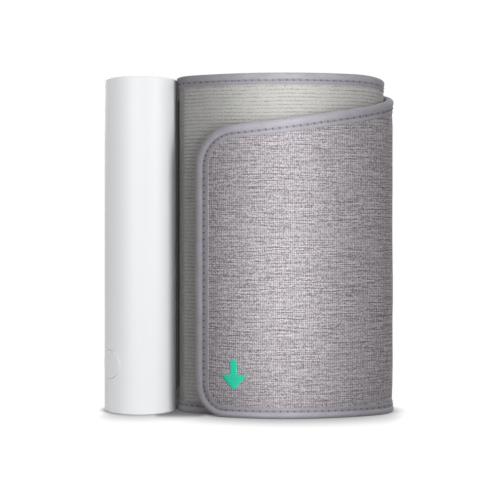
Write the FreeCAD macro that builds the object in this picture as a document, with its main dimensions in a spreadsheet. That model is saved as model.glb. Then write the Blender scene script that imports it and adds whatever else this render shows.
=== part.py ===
import FreeCAD, Part
import math
import os
import Sketcher
from types import SimpleNamespace

# An upper-arm blood pressure monitor: a tube-shaped housing that stands on its end beside its rolled cuff.
# Millimetres and degrees. +Z is up, +X runs from the tube to the cuff and the flap's face looks along -Y.
# The origin is on the standing surface, under the middle of the whole.

SIZES = [
    ("tube_radius", 16.5, "outside of the tube"),
    ("tube_length", 151.0, "length of the tube"),
    ("tube_wall", 1.6, "wall of the tube"),
    ("tube_rim", 0.5, "rounding of the tube's two rims"),
    ("tube_gap", 0.3, "gap between the tube and the cuff's edge tape"),
    ("front_turn", 217.5, "direction that the button and the display face, in degrees from +X"),
    ("cap_fit", 0.1, "radial gap of the end caps in the tube"),
    ("cap_thick", 2.0, "plate of an end cap"),
    ("cap_skirt", 4.0, "depth of an end cap's skirt under its plate"),
    ("cap_skirt_wall", 1.3, "wall of that skirt"),
    ("button_height", 22.0, "middle of the button above the floor"),
    ("button_radius", 6.4, "round button's radius"),
    ("button_gap", 0.15, "gap around the button in the tube wall"),
    ("button_proud", 0.3, "how far the button stands out of the tube"),
    ("button_flange", 1.0, "how far the button's collar reaches past its face"),
    ("button_collar", 1.0, "thickness of that collar"),
    ("button_slack", 0.2, "gap from the collar to the tube's inside"),
    ("button_stroke", 0.5, "travel of the button"),
    ("stem_radius", 1.6, "stem behind the button"),
    ("switch_side", 6.0, "side of the tactile switch"),
    ("switch_thick", 2.0, "height of the switch on the board"),
    ("actuator_radius", 1.0, "switch's moving pin"),
    ("actuator_rise", 0.8, "how far that pin stands out at rest"),
    ("actuator_depth", 0.6, "how far it reaches into the switch"),
    ("running_gap", 0.1, "gap around small sliding pins"),
    ("spine_thick", 1.2, "plate that carries the board"),
    ("spine_side_gap", 0.7, "gap from that plate's sides to the tube"),
    ("spine_gap", 2.0, "gap from that plate's ends to the end caps"),
    ("bulkhead_thick", 2.0, "thickness of the chassis bulkheads"),
    ("bulkhead_fit", 0.15, "gap from a bulkhead to the tube"),
    ("board_thick", 1.2, "thickness of the board"),
    ("board_side_gap", 1.0, "gap from the board's sides to the tube"),
    ("board_gap", 1.0, "gap from the board's ends to the end caps"),
    ("screw_radius", 0.9, "shank of the board screws"),
    ("screw_head_radius", 1.8, "head of the board screws"),
    ("screw_head", 1.1, "height of that head"),
    ("screw_fit", 0.1, "gap around a screw in its hole"),
    ("screw_inset", 2.6, "screws from the board's edges"),
    ("chip_side", 7.0, "larger chip on the board"),
    ("chip_thick", 1.1, "height of the chips"),
    ("chip_step", 2.5, "space between the pieces on the board"),
    ("radio_width", 11.0, "screened radio module"),
    ("radio_length", 15.0, "length of that module"),
    ("radio_thick", 2.2, "height of that module"),
    ("led_side", 1.3, "side of one light"),
    ("led_thick", 0.7, "height of one light"),
    ("led_pitch", 3.4, "spacing of the lights"),
    ("mask_edge", 1.6, "rim of the light mask around the lights"),
    ("mask_wall_gap", 0.4, "gap from the mask to the tube's inside"),
    ("well_radius", 1.2, "well over each light"),
    ("usb_width", 8.9, "charging socket's shell"),
    ("usb_thick", 3.2, "height of that shell"),
    ("usb_length", 9.4, "length of that shell"),
    ("usb_shell", 0.4, "sheet metal of that shell"),
    ("usb_back", 2.4, "depth of the socket's back"),
    ("usb_fit", 0.25, "gap around the socket in the top cap"),
    ("usb_inset", 0.4, "socket's mouth below the cap's face"),
    ("cell_length", 40.0, "length of the cell"),
    ("cell_gap", 1.5, "gap from the cell to the bottom cap"),
    ("cell_fit", 0.15, "gap around the cell in its bulkheads"),
    ("cell_button_radius", 2.7, "raised contact of the cell"),
    ("cell_button", 1.2, "height of that contact"),
    ("motor_length", 22.0, "length of the pump's motor can"),
    ("damper_thick", 0.8, "rubber sleeve round the motor"),
    ("damper_inset", 1.5, "sleeve's ends from the can's ends"),
    ("damper_fit", 0.1, "gap around the sleeve in its bulkheads"),
    ("shaft_radius", 0.75, "motor shaft"),
    ("shaft_gap", 0.05, "gap around the shaft in its bearing"),
    ("shaft_depth", 9.0, "shaft inside the motor"),
    ("shaft_floor", 0.2, "gap under the shaft's lower end"),
    ("head_step", 0.7, "pump head's side past the motor can"),
    ("head_length", 12.0, "height of the pump head"),
    ("head_wall", 1.2, "wall of the pump head"),
    ("crank_radius", 3.2, "crank disc on the shaft"),
    ("crank_thick", 2.4, "thickness of that disc"),
    ("crank_lift", 0.6, "gap under that disc"),
    ("pin_radius", 0.7, "crank pin"),
    ("pin_throw", 1.6, "crank pin from the shaft's axis"),
    ("pin_length", 1.6, "height of the crank pin"),
    ("plate_side_gap", 0.4, "gap round the drive plate over the crank"),
    ("plate_thick", 1.2, "thickness of the drive plate"),
    ("plate_gap", 0.3, "gap over the crank pin"),
    ("cup_radius", 1.9, "each cup of the diaphragm"),
    ("cup_gap", 0.6, "gap from the cups to the pump head's inside"),
    ("cover_length", 4.0, "pump cover"),
    ("nipple_radius", 1.6, "hose nipple"),
    ("nipple_bore", 0.8, "bore of the nipple and of the air path"),
    ("nipple_length", 5.0, "length of the nipple"),
    ("hose_wall", 0.9, "wall of the short hose on the nipple"),
    ("hose_fit", 0.02, "gap of the hose on the nipple"),
    ("hose_bite", 1.5, "nipple's end inside the manifold"),
    ("manifold_wall", 1.6, "manifold's wall beside the nozzle"),
    ("manifold_height", 8.0, "height of the air manifold"),
    ("sensor_side", 6.0, "pressure sensor"),
    ("sensor_thick", 3.0, "height of the pressure sensor"),
    ("sensor_inset", 1.0, "sensor's edge from the manifold's edge"),
    ("valve_height", 13.0, "release valve"),
    ("valve_gap", 1.5, "gap from the valve to the top cap"),
    ("valve_floor", 1.2, "floor and roof of the valve"),
    ("valve_wall", 0.7, "thinnest wall of the valve"),
    ("coil_gap", 0.15, "gap between the coil and the plunger"),
    ("coil_fit", 0.1, "gap around the coil"),
    ("coil_short", 2.4, "coil's upper end from the roof"),
    ("plunger_stroke", 0.8, "travel of the plunger"),
    ("plunger_stop", 0.05, "gap at the seat when the valve is shut"),
    ("plunger_top", 0.6, "gap over the plunger"),
    ("nose_radius", 0.9, "plunger's nose"),
    ("nose_length", 2.6, "length of that nose"),
    ("seat_thick", 0.6, "rubber seat under the nose"),
    ("spring_wall", 0.35, "spring round the nose"),
    ("nozzle_radius", 1.9, "air nozzle into the cuff"),
    ("nozzle_fit", 0.02, "gap around the nozzle in its holes"),
    ("gasket_radius", 3.2, "gasket round the nozzle"),
    ("rail_inset", 10.0, "cuff rail's ends in the tube from the tube's ends"),
    ("rail_neck", 5.6, "width of the rail in the tube wall"),
    ("rail_fit", 0.1, "gap around the rail in the tube wall"),
    ("rail_flange", 8.0, "width of the rail's flange in the cuff, along its bend"),
    ("bar_thick", 1.8, "thickness of the bar that holds the rail inside the tube"),
    ("bar_room", 1.0, "free space round that bar"),
    ("rail_screw_radius", 0.8, "screws from the bar into the rail"),
    ("rail_screw_head", 0.6, "height of their heads"),
    ("rail_screw_reach", 2.0, "depth of those screws in the rail"),
    ("roll_width", 98.4, "rolled cuff, over the edge tape"),
    ("roll_depth", 48.0, "rolled cuff, front to back"),
    ("roll_end_radius", 16.0, "bend at the roll's right end"),
    ("roll_pitch", 3.9, "one turn of the strip to the next"),
    ("cuff_height", 152.0, "width of the cuff's strip"),
    ("skin_thick", 0.8, "outer fabric"),
    ("padding_thick", 1.3, "padding, or the bladder in its place"),
    ("lining_thick", 0.8, "inner fabric"),
    ("glue_gap", 0.05, "glue between the fabrics"),
    ("binding_width", 5.6, "edge tape on the strip"),
    ("binding_proud", 0.25, "edge tape over the fabric's face"),
    ("inner_end", 30.0, "strip's inner end from the roll's middle"),
    ("bladder_start", 24.0, "bladder's first end from the roll's middle, along the back"),
    ("flap_reach", 40.2, "flap's free edge from the roll's middle"),
    ("flap_hinge", 34.0, "line where the flap bends away, from the roll's middle"),
    ("flap_hinge_gap", 0.3, "gap between the flap and the strip at that line"),
    ("flap_tip_drop", 23.5, "flap's upper edge under the cuff's top, at its free end"),
    ("flap_root_drop", 10.0, "the same edge under the cuff's top, at the roll's right end"),
    ("flap_corner", 14.0, "flap's two rounded corners"),
    ("hook_thick", 0.45, "hook patch behind the flap"),
    ("hook_width", 34.0, "width of that patch"),
    ("hook_inset", 4.0, "patch from the flap's edge tape"),
    ("mark_thick", 0.3, "index mark on the flap"),
    ("mark_height", 19.0, "middle of the mark above the floor"),
    ("mark_side", 17.0, "middle of the mark from the flap's free edge"),
    ("mark_size", 13.2, "height of the mark"),
    ("mark_stroke", 3.2, "shaft of the mark's arrow"),
    ("mark_head", 6.2, "length of the arrow's head"),
    ("mark_width", 11.6, "width of the arrow's head"),
    ("overrun", 5.0, "how far cutting shapes run past the material"),
]
# What stands side by side in the tube takes its share of the tube's inside radius
BOARD_SHARE = 0.355
STACK_SHARES = (-0.33, -0.107)
CELL_SHARE = 0.47
MOTOR_SHARE = 0.47
MANIFOLD_SHARE = 0.67
BAR_SHARE = 0.6
PLUNGER_SHARE = 0.51
LED_ROWS = 14
LED_COLUMNS = 3
CUPS = 3
FULL_TURNS = 2
CELL_BULKHEAD_SHARES = (0.14, 0.84)
MOTOR_BULKHEAD_SHARES = (0.16, 0.7)
RAIL_SCREW_SHARES = (0.05, 0.35, 0.65, 0.95)
CHIP_SHARES = (1.0, 0.7)
NECK_SHARE = 0.7
FULL_ANGLE = 360
FRONT_ANGLE = 270
BACK_ANGLE = 450
LEFT_ANGLE = 540
PRIMITIVES = ("Part::Box", "Part::Cylinder")

doc = FreeCAD.newDocument("BloodPressureMonitor")
sheet = doc.addObject("Spreadsheet::Sheet", "Sizes")
parts = []


class Size:
    """A length or an angle, with the expression that binds it to the sheet"""

    def __init__(self, value, text):
        self.value = float(value)
        self.text = text

    def __float__(self):
        return self.value

    def __add__(self, other):
        other = as_size(other)
        return Size(self.value + other.value, f"({self.text} + {other.text})")

    def __sub__(self, other):
        other = as_size(other)
        return Size(self.value - other.value, f"({self.text} - {other.text})")

    def __rsub__(self, other):
        return as_size(other) - self

    def __mul__(self, factor):
        return Size(self.value * factor, f"({self.text} * {factor})")

    def __truediv__(self, factor):
        return Size(self.value / factor, f"({self.text} / {factor})")

    def __neg__(self):
        return Size(-self.value, f"(-{self.text})")

    __radd__ = __add__
    __rmul__ = __mul__


def as_size(value):
    return value if isinstance(value, Size) else Size(value, repr(float(value)))


def fill_sheet():
    """Write the driving dimensions to the sheet and return them by name"""
    for row, (alias, value, meaning) in enumerate(SIZES, start=1):
        sheet.set(f"A{row}", "'" + alias)
        sheet.set(f"B{row}", str(value))
        sheet.setAlias(f"B{row}", alias)
        sheet.set(f"C{row}", "'" + meaning)
    doc.recompute()
    return SimpleNamespace(**{alias: Size(sheet.get(alias), f"Sizes.{alias}") for alias, _, _ in SIZES})


S = fill_sheet()


# Shapes bound to the sheet

def bind(obj, **sizes):
    """Tie properties of an object to sizes; a double underscore in a name stands for a dot"""
    for name, size in sizes.items():
        obj.setExpression(name.replace("__", "."), as_size(size).text)


def block(name, x, y, z):
    """Box between pairs of sizes"""
    obj = doc.addObject("Part::Box", name)
    bind(obj, Length=x[1] - x[0], Width=y[1] - y[0], Height=z[1] - z[0])
    bind(obj, Placement__Base__x=x[0], Placement__Base__y=y[0], Placement__Base__z=z[0])
    return obj


def rod(name, radius, span, x=0, y=0):
    """Upright cylinder over a span of heights"""
    obj = doc.addObject("Part::Cylinder", name)
    bind(obj, Radius=radius, Height=span[1] - span[0])
    bind(obj, Placement__Base__x=x, Placement__Base__y=y, Placement__Base__z=span[0])
    return obj


def level_rod(name, radius, span, z, y=0):
    """Cylinder along X over a span"""
    obj = doc.addObject("Part::Cylinder", name)
    obj.Placement = FreeCAD.Placement(FreeCAD.Vector(), FreeCAD.Rotation(FreeCAD.Vector(0, 1, 0), 90))
    bind(obj, Radius=radius, Height=span[1] - span[0])
    bind(obj, Placement__Base__x=span[0], Placement__Base__y=y, Placement__Base__z=z)
    return obj


def fuse(name, *shapes):
    obj = doc.addObject("Part::MultiFuse", name)
    obj.Shapes = list(shapes)
    return obj


def cut(name, base, *tools):
    obj = doc.addObject("Part::Cut", name)
    obj.Base = base
    obj.Tool = tools[0] if len(tools) == 1 else fuse(name + "_tools", *tools)
    return obj


def common(name, first, second):
    obj = doc.addObject("Part::Common", name)
    obj.Base = first
    obj.Tool = second
    return obj


def group(name, objects):
    """Like pieces that share one node"""
    obj = doc.addObject("Part::Compound", name)
    obj.Links = objects
    return obj


def pipe(name, outer, inner, span):
    """Upright ring over a span of heights"""
    deep = (span[0] - S.overrun, span[1] + S.overrun)
    return cut(name, rod(name + "_outside", outer, span), rod(name + "_inside", inner, deep))


def turned(name, profile):
    """Body of revolution about Z through (radius, height) points"""
    body = doc.addObject("PartDesign::Body", name)
    sketch = body.newObject("Sketcher::SketchObject", name + "_profile")
    plane = next(item for item in body.Origin.OriginFeatures if item.Role == "XZ_Plane")
    sketch.AttachmentSupport = (plane, [""])
    sketch.MapMode = "FlatFace"
    points = [FreeCAD.Vector(float(radius), float(height), 0) for radius, height in profile]
    for first, second in zip(points, points[1:] + points[:1]):
        sketch.addGeometry(Part.LineSegment(first, second))
    for index, (radius, height) in enumerate(profile):
        before = index - 1 if index else len(profile) - 1
        sketch.addConstraint(Sketcher.Constraint("Coincident", before, 2, index, 1))
        for axis, kind, size in ((-2, "DistanceX", radius), (-1, "DistanceY", height)):
            if float(size) == 0:
                sketch.addConstraint(Sketcher.Constraint("PointOnObject", index, 1, axis))
                continue
            number = sketch.addConstraint(Sketcher.Constraint(kind, -1, 1, index, 1, float(size)))
            sketch.setExpression(f"Constraints[{number}]", as_size(size).text)
    spin = body.newObject("PartDesign::Revolution", name + "_turn")
    spin.Profile = sketch
    spin.ReferenceAxis = (sketch, ["V_Axis"])
    spin.Angle = FULL_ANGLE
    body.Tip = spin
    return body


def coded(name, shape):
    obj = doc.addObject("Part::Feature", name)
    obj.Shape = shape
    return obj


def keep(obj, label):
    """Hand an object over as the sub-part of that name"""
    obj.Label = label
    parts.append(obj)
    return obj


# Places

def left_bend(half_width, side, outer_radius, inner_radius):
    """Arc at the roll's left end that leads from the back of one turn to the front of the next"""
    pitch = outer_radius - inner_radius
    lean = pitch / (2 * side)
    rise = pitch * (outer_radius + inner_radius) / (4 * side) + side
    slope = 2 * (outer_radius - half_width - rise * lean)
    rest = outer_radius ** 2 - half_width ** 2 - rise ** 2
    radius = 2 * rest / (slope + math.sqrt(slope ** 2 + 4 * lean ** 2 * rest))
    x = radius - half_width
    y = rise - side - lean * radius
    back = math.degrees(math.atan2(y + side, x))
    front = math.degrees(math.atan2(y - side, x)) + FULL_ANGLE
    return x, y, radius, back, front


def roll_arcs():
    """Arcs of the strip's outer face, (x, y, radius, start, end), from the flap's tip to the inner end"""
    half_width = float(S.roll_width / 2 - S.binding_proud)
    half_depth = float(S.roll_depth / 2 - S.binding_proud)
    end_radius = float(S.roll_end_radius - S.binding_proud)
    pitch = float(S.roll_pitch)
    reach = half_width - end_radius
    rise = half_depth - end_radius
    side = (reach ** 2 - rise ** 2) / (2 * rise)
    side_radius = half_depth + side
    swing = math.degrees(math.atan2(reach, side))
    arcs = []
    start = FRONT_ANGLE - math.degrees(math.asin(float(S.flap_reach) / side_radius))
    for turn in range(FULL_TURNS):
        inset = turn * pitch
        base = FULL_ANGLE * turn
        front_end = base + FRONT_ANGLE + swing
        right_end = base + BACK_ANGLE - swing
        bend = left_bend(half_width - inset, side, side_radius - inset, side_radius - inset - pitch)
        x, y, radius, back, front = bend
        back_end = base + FULL_ANGLE + back
        left_end = base + FULL_ANGLE + front
        arcs.append((0, side, side_radius - inset, start, front_end))
        arcs.append((reach, 0, end_radius - inset, front_end, right_end))
        arcs.append((0, -side, side_radius - inset, right_end, back_end))
        arcs.append((x, y, radius, back_end, left_end))
        start = left_end
    inside = side_radius - FULL_TURNS * pitch
    end = FRONT_ANGLE + FULL_ANGLE * FULL_TURNS + math.degrees(math.asin(float(S.inner_end) / inside))
    arcs.append((0, side, inside, start, end))
    return arcs


ARCS = roll_arcs()
FRONT, _, BACK, LEFT_END = ARCS[:4]
TIP_ANGLE = ARCS[0][3]
END_ANGLE = ARCS[-1][4]
RAIL_SPREAD = math.degrees(float(S.rail_flange / 2) / LEFT_END[2])
RAIL_ANGLES = (LEFT_ANGLE - RAIL_SPREAD, LEFT_ANGLE + RAIL_SPREAD)
WHOLE_WIDTH = S.tube_radius * 2 + S.tube_gap + S.roll_width
TUBE_X = S.tube_radius - WHOLE_WIDTH / 2
TUBE_Y = LEFT_END[1]
ROLL_X = (WHOLE_WIDTH - S.roll_width) / 2
INNER_RADIUS = S.tube_radius - S.tube_wall
BOARD_BACK = INNER_RADIUS * BOARD_SHARE
STACK_X = INNER_RADIUS * STACK_SHARES[0]
STACK_Y = INNER_RADIUS * STACK_SHARES[1]
CELL_RADIUS = INNER_RADIUS * CELL_SHARE
MOTOR_RADIUS = INNER_RADIUS * MOTOR_SHARE
HEAD_RADIUS = MOTOR_RADIUS + S.head_step
MANIFOLD_SIDE = INNER_RADIUS * MANIFOLD_SHARE
BAR_WIDTH = INNER_RADIUS * BAR_SHARE
STRIP_THICK = S.skin_thick + S.padding_thick + S.lining_thick + S.glue_gap * 2
PADDING_FACE = S.skin_thick + S.glue_gap
LINING_FACE = PADDING_FACE + S.padding_thick + S.glue_gap


def angle_at(arc, distance):
    """Angle of a side arc at a distance from the roll's middle, to the right"""
    lean = math.degrees(math.asin(float(distance) / arc[2]))
    return FRONT_ANGLE + lean if arc[1] > 0 else BACK_ANGLE - lean


HINGE_ANGLE = angle_at(FRONT, S.flap_hinge)
OUTER_START = HINGE_ANGLE + math.degrees(float(S.flap_hinge_gap) / FRONT[2])
BLADDER_START = angle_at(BACK, S.bladder_start)
BLADDER_END = LEFT_END[4]
END_TAPE = END_ANGLE - math.degrees(float(S.binding_width) / ARCS[-1][2])


def wrapped(obj):
    """A primitive keeps the place that it was built at inside a compound, which can then be moved"""
    return group(obj.Name + "_placed", [obj]) if obj.TypeId in PRIMITIVES else obj


def seat_in_tube(obj, turned_to_front=True):
    """Move an object that is built about the tube's axis to its place"""
    obj = wrapped(obj)
    angle = S.front_turn if turned_to_front else as_size(0)
    place = FreeCAD.Vector(float(TUBE_X), float(TUBE_Y), 0)
    obj.Placement = FreeCAD.Placement(place, FreeCAD.Rotation(FreeCAD.Vector(0, 0, 1), float(angle)))
    bind(obj, Placement__Base__x=TUBE_X, Placement__Base__y=TUBE_Y)
    if turned_to_front:
        bind(obj, Placement__Rotation__Angle=angle)
    return obj


def seat_on_stack(obj):
    """Move an object that is built about Z to the axis that battery, pump and valve share"""
    obj = wrapped(obj)
    turn = math.radians(float(S.front_turn))
    x = TUBE_X + STACK_X * math.cos(turn) - STACK_Y * math.sin(turn)
    y = TUBE_Y + STACK_X * math.sin(turn) + STACK_Y * math.cos(turn)
    place = FreeCAD.Vector(float(x), float(y), 0)
    obj.Placement = FreeCAD.Placement(place, FreeCAD.Rotation(FreeCAD.Vector(0, 0, 1), float(S.front_turn)))
    bind(obj, Placement__Base__x=x, Placement__Base__y=y, Placement__Rotation__Angle=S.front_turn)
    return obj


def around(size):
    """Span of a width about zero"""
    return (-size / 2, size / 2)


def turn_to_front(obj):
    """Turn an object about the tube's axis, so that its +X faces the way the button does"""
    turn = FreeCAD.Rotation(FreeCAD.Vector(0, 0, 1), float(S.front_turn))
    obj.Placement = FreeCAD.Placement(FreeCAD.Vector(), turn)
    bind(obj, Placement__Rotation__Angle=S.front_turn)
    return obj


def half_chord(radius, offset):
    """Half the chord of a circle at an offset from its middle"""
    value = math.sqrt(float(radius) ** 2 - float(offset) ** 2)
    return Size(value, f"sqrt({radius.text} * {radius.text} - {offset.text} * {offset.text})")


def shorter(first, second):
    return Size(min(first.value, second.value), f"min({first.text}; {second.text})")


FRONT_COS = math.cos(math.radians(float(S.front_turn)))
FRONT_SIN = math.sin(math.radians(float(S.front_turn)))
STACK_ACROSS = STACK_X * FRONT_COS - STACK_Y * FRONT_SIN
STACK_BACK = STACK_X * FRONT_SIN + STACK_Y * FRONT_COS
BOARD_FRONT = BOARD_BACK + S.board_thick
SPINE_BACK = BOARD_BACK - S.spine_thick
CAP_DEEP = S.cap_thick + S.cap_skirt
CELL_START = CAP_DEEP + S.cell_gap
JOINED_LENGTH = shorter(S.tube_length, S.cuff_height)
MANIFOLD_END = JOINED_LENGTH - CAP_DEEP - S.valve_gap - S.valve_height
MANIFOLD_START = MANIFOLD_END - S.manifold_height
NOZZLE_HEIGHT = MANIFOLD_START + S.manifold_height / 2
COVER_END = MANIFOLD_START + S.hose_bite - S.nipple_length
HEAD_END = COVER_END - S.cover_length
MOTOR_END = HEAD_END - S.head_length
MOTOR_START = MOTOR_END - S.motor_length
RAIL_END = JOINED_LENGTH - S.rail_inset
BOARD_HALF = half_chord(INNER_RADIUS, BOARD_FRONT) - S.board_side_gap
BOARD_SPAN = (CAP_DEEP + S.board_gap, S.tube_length - CAP_DEEP - S.board_gap)
SPINE_HALF = half_chord(INNER_RADIUS, BOARD_BACK) - S.spine_side_gap
SPINE_SPAN = (CAP_DEEP + S.spine_gap, S.tube_length - CAP_DEEP - S.spine_gap)
USB_MOUTH = S.tube_length - S.usb_inset
USB_BACK = USB_MOUTH - S.usb_length
CHIP_START = S.button_height + S.switch_side / 2 + S.chip_step
DISPLAY_START = CHIP_START + S.chip_side * sum(CHIP_SHARES) + S.chip_step * len(CHIP_SHARES)
BAR_OUTER = half_chord(INNER_RADIUS, BAR_WIDTH / 2) - S.rail_fit
BAR_INNER = BAR_OUTER - S.bar_thick
STRIP_FACE = S.tube_radius + S.tube_gap + S.binding_proud


# The tube and its ends

def tube_housing():
    body = turned("tube_body", [
        (INNER_RADIUS, 0),
        (S.tube_radius - S.tube_rim, 0),
        (S.tube_radius, S.tube_rim),
        (S.tube_radius, S.tube_length - S.tube_rim),
        (S.tube_radius - S.tube_rim, S.tube_length),
        (INNER_RADIUS, S.tube_length),
    ])
    through_wall = (INNER_RADIUS - S.overrun, S.tube_radius + S.overrun)
    hole = level_rod("button_hole", S.button_radius + S.button_gap, through_wall, S.button_height)
    pierced = turn_to_front(cut("tube_pierced", body, hole))
    slot = block(
        "rail_slot", through_wall, around(S.rail_neck + S.rail_fit * 2),
        (S.rail_inset - S.rail_fit, RAIL_END + S.rail_fit))
    keep(seat_in_tube(cut("tube_slotted", pierced, slot), turned_to_front=False), "tube_housing")


def end_caps():
    radius = INNER_RADIUS - S.cap_fit
    inside = radius - S.cap_skirt_wall
    bottom = turned("bottom_plate", [
        (0, 0), (radius, 0), (radius, CAP_DEEP), (inside, CAP_DEEP), (inside, S.cap_thick), (0, S.cap_thick)])
    keep(seat_in_tube(bottom), "bottom_cap")
    top = S.tube_length
    plate = turned("top_plate", [
        (0, top), (radius, top), (radius, top - CAP_DEEP), (inside, top - CAP_DEEP),
        (inside, top - S.cap_thick), (0, top - S.cap_thick)])
    slot = block(
        "charging_slot", (BOARD_FRONT - S.usb_fit, BOARD_FRONT + S.usb_thick + S.usb_fit),
        around(S.usb_width + S.usb_fit * 2), (top - S.cap_thick - S.overrun, top + S.overrun))
    keep(seat_in_tube(cut("top_slotted", plate, slot)), "top_cap")


def button():
    """Round button in the tube wall, with the switch behind it"""
    collar_front = half_chord(INNER_RADIUS, S.button_radius + S.button_flange) - S.button_slack
    collar_back = collar_front - S.button_collar
    switch_face = BOARD_FRONT + S.switch_thick
    stem_end = switch_face + S.actuator_rise
    face_radius = S.tube_radius + S.button_proud
    plug = level_rod("button_plug", S.button_radius, (collar_back, face_radius), S.button_height)
    high = S.button_height + S.button_radius + S.overrun
    face = common("button_face", plug, rod("button_round", face_radius, (as_size(0), high)))
    collar_radius = S.button_radius + S.button_flange
    collar = level_rod("button_ring", collar_radius, (collar_back, collar_front), S.button_height)
    stem = level_rod("button_stem", S.stem_radius, (stem_end, collar_front), S.button_height)
    keep(seat_in_tube(fuse("button_whole", face, collar, stem)), "button_cap")
    pin_span = (switch_face - S.actuator_depth, stem_end)
    pin = level_rod("switch_pin", S.actuator_radius, pin_span, S.button_height)
    keep(seat_in_tube(pin), "switch_actuator")
    half = S.switch_side / 2
    case = block(
        "switch_case", (BOARD_FRONT, switch_face), around(S.switch_side),
        (S.button_height - half, S.button_height + half))
    bore_floor = switch_face - S.actuator_depth - S.button_stroke - S.running_gap
    bore_span = (bore_floor, switch_face + S.overrun)
    bore = level_rod("switch_bore", S.actuator_radius + S.running_gap, bore_span, S.button_height)
    keep(seat_in_tube(cut("switch_bored", case, bore)), "tact_switch")


# What the chassis carries

def screw_places():
    """Board screws as (y, z)"""
    side = BOARD_HALF - S.screw_inset
    low = BOARD_SPAN[0] + S.screw_inset
    high = BOARD_SPAN[1] - S.screw_inset
    return [(y, z) for z in (low, high) for y in (-side, side)]


def chassis():
    """Flat spine for the board, with bulkheads that carry the battery and the pump"""
    spine = block("spine", (SPINE_BACK, BOARD_BACK), (-SPINE_HALF, SPINE_HALF), SPINE_SPAN)
    behind = (-INNER_RADIUS, BOARD_BACK)
    half_space = block("behind_board", behind, around(INNER_RADIUS * 2), (as_size(0), S.tube_length))
    cell_bore = CELL_RADIUS + S.cell_fit
    motor_bore = MOTOR_RADIUS + S.damper_thick + S.damper_fit
    rows = [(CELL_START + S.cell_length * share, cell_bore) for share in CELL_BULKHEAD_SHARES]
    rows += [(MOTOR_START + S.motor_length * share, motor_bore) for share in MOTOR_BULKHEAD_SHARES]
    walls = []
    for start, bore in rows:
        span = (start, start + S.bulkhead_thick)
        disc = rod("bulkhead_disc", INNER_RADIUS - S.bulkhead_fit, span)
        walls.append(cut("bulkhead", disc, rod("bulkhead_bore", bore, span, STACK_X, STACK_Y)))
    bulkheads = common("bulkheads", fuse("bulkhead_discs", *walls), half_space)
    through = (SPINE_BACK - S.overrun, BOARD_BACK + S.overrun)
    holes = [
        level_rod("spine_hole", S.screw_radius + S.screw_fit, through, z, y) for y, z in screw_places()]
    carrier = turn_to_front(cut("carrier", fuse("spine_and_bulkheads", spine, bulkheads), *holes))
    room = block(
        "bar_clearance", (BAR_INNER - S.bar_room, S.tube_radius),
        around(BAR_WIDTH + S.bar_room * 2), (as_size(0), S.tube_length))
    keep(seat_in_tube(cut("carrier_cleared", carrier, room), turned_to_front=False), "chassis")


def board():
    """Circuit board with its chips, radio, charging socket and screws"""
    blank = block("board_blank", (BOARD_BACK, BOARD_FRONT), (-BOARD_HALF, BOARD_HALF), BOARD_SPAN)
    through = (BOARD_BACK - S.overrun, BOARD_FRONT + S.overrun)
    holes = [
        level_rod("board_hole", S.screw_radius + S.screw_fit, through, z, y) for y, z in screw_places()]
    keep(seat_in_tube(cut("board_drilled", blank, *holes)), "main_board")
    screws = []
    for y, z in screw_places():
        shank = level_rod("screw_shank", S.screw_radius, (SPINE_BACK, BOARD_FRONT), z, y)
        head_span = (BOARD_FRONT, BOARD_FRONT + S.screw_head)
        head = level_rod("screw_cap", S.screw_head_radius, head_span, z, y)
        screws.append(fuse("screw", shank, head))
    keep(seat_in_tube(group("screws", screws)), "board_screws")
    chips = []
    start = CHIP_START
    for share in CHIP_SHARES:
        side = S.chip_side * share
        front = (BOARD_FRONT, BOARD_FRONT + S.chip_thick)
        chips.append(block("chip", front, around(side), (start, start + side)))
        start = start + side + S.chip_step
    keep(seat_in_tube(group("chips", chips)), "board_chips")
    radio = block(
        "radio_can", (BOARD_FRONT, BOARD_FRONT + S.radio_thick), around(S.radio_width),
        (USB_BACK - S.chip_step - S.radio_length, USB_BACK - S.chip_step))
    keep(seat_in_tube(radio), "radio_module")
    shell = block(
        "socket_shell", (BOARD_FRONT, BOARD_FRONT + S.usb_thick), around(S.usb_width), (USB_BACK, USB_MOUTH))
    hollow = block(
        "socket_hollow", (BOARD_FRONT + S.usb_shell, BOARD_FRONT + S.usb_thick - S.usb_shell),
        around(S.usb_width - S.usb_shell * 2), (USB_BACK + S.usb_back, USB_MOUTH + S.overrun))
    keep(seat_in_tube(cut("socket", shell, hollow)), "usb_port")


def display():
    """Grid of lights on the board, behind a mask whose wells lead to the tube wall"""
    rim = S.well_radius + S.mask_edge
    across = [S.led_pitch * (column - (LED_COLUMNS - 1) / 2) for column in range(LED_COLUMNS)]
    up = [DISPLAY_START + rim + S.led_pitch * row for row in range(LED_ROWS)]
    half = S.led_side / 2
    lights = [
        block("light", (BOARD_FRONT, BOARD_FRONT + S.led_thick), (y - half, y + half), (z - half, z + half))
        for z in up for y in across]
    keep(seat_in_tube(group("lights", lights)), "led_matrix")
    half_width = across[-1] + rim
    front = half_chord(INNER_RADIUS, half_width) - S.mask_wall_gap
    solid = block("mask_block", (BOARD_FRONT, front), around(half_width * 2), (up[0] - rim, up[-1] + rim))
    through = (BOARD_FRONT - S.overrun, front + S.overrun)
    wells = [level_rod("well", S.well_radius, through, z, y) for z in up for y in across]
    keep(seat_in_tube(cut("mask_bored", solid, *wells)), "light_mask")


def battery():
    end = CELL_START + S.cell_length
    shoulder = end - S.cell_button
    cell = turned("cell", [
        (0, CELL_START), (CELL_RADIUS, CELL_START), (CELL_RADIUS, shoulder),
        (S.cell_button_radius, shoulder), (S.cell_button_radius, end), (0, end)])
    keep(seat_on_stack(cell), "battery_cell")


# The air path

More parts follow.
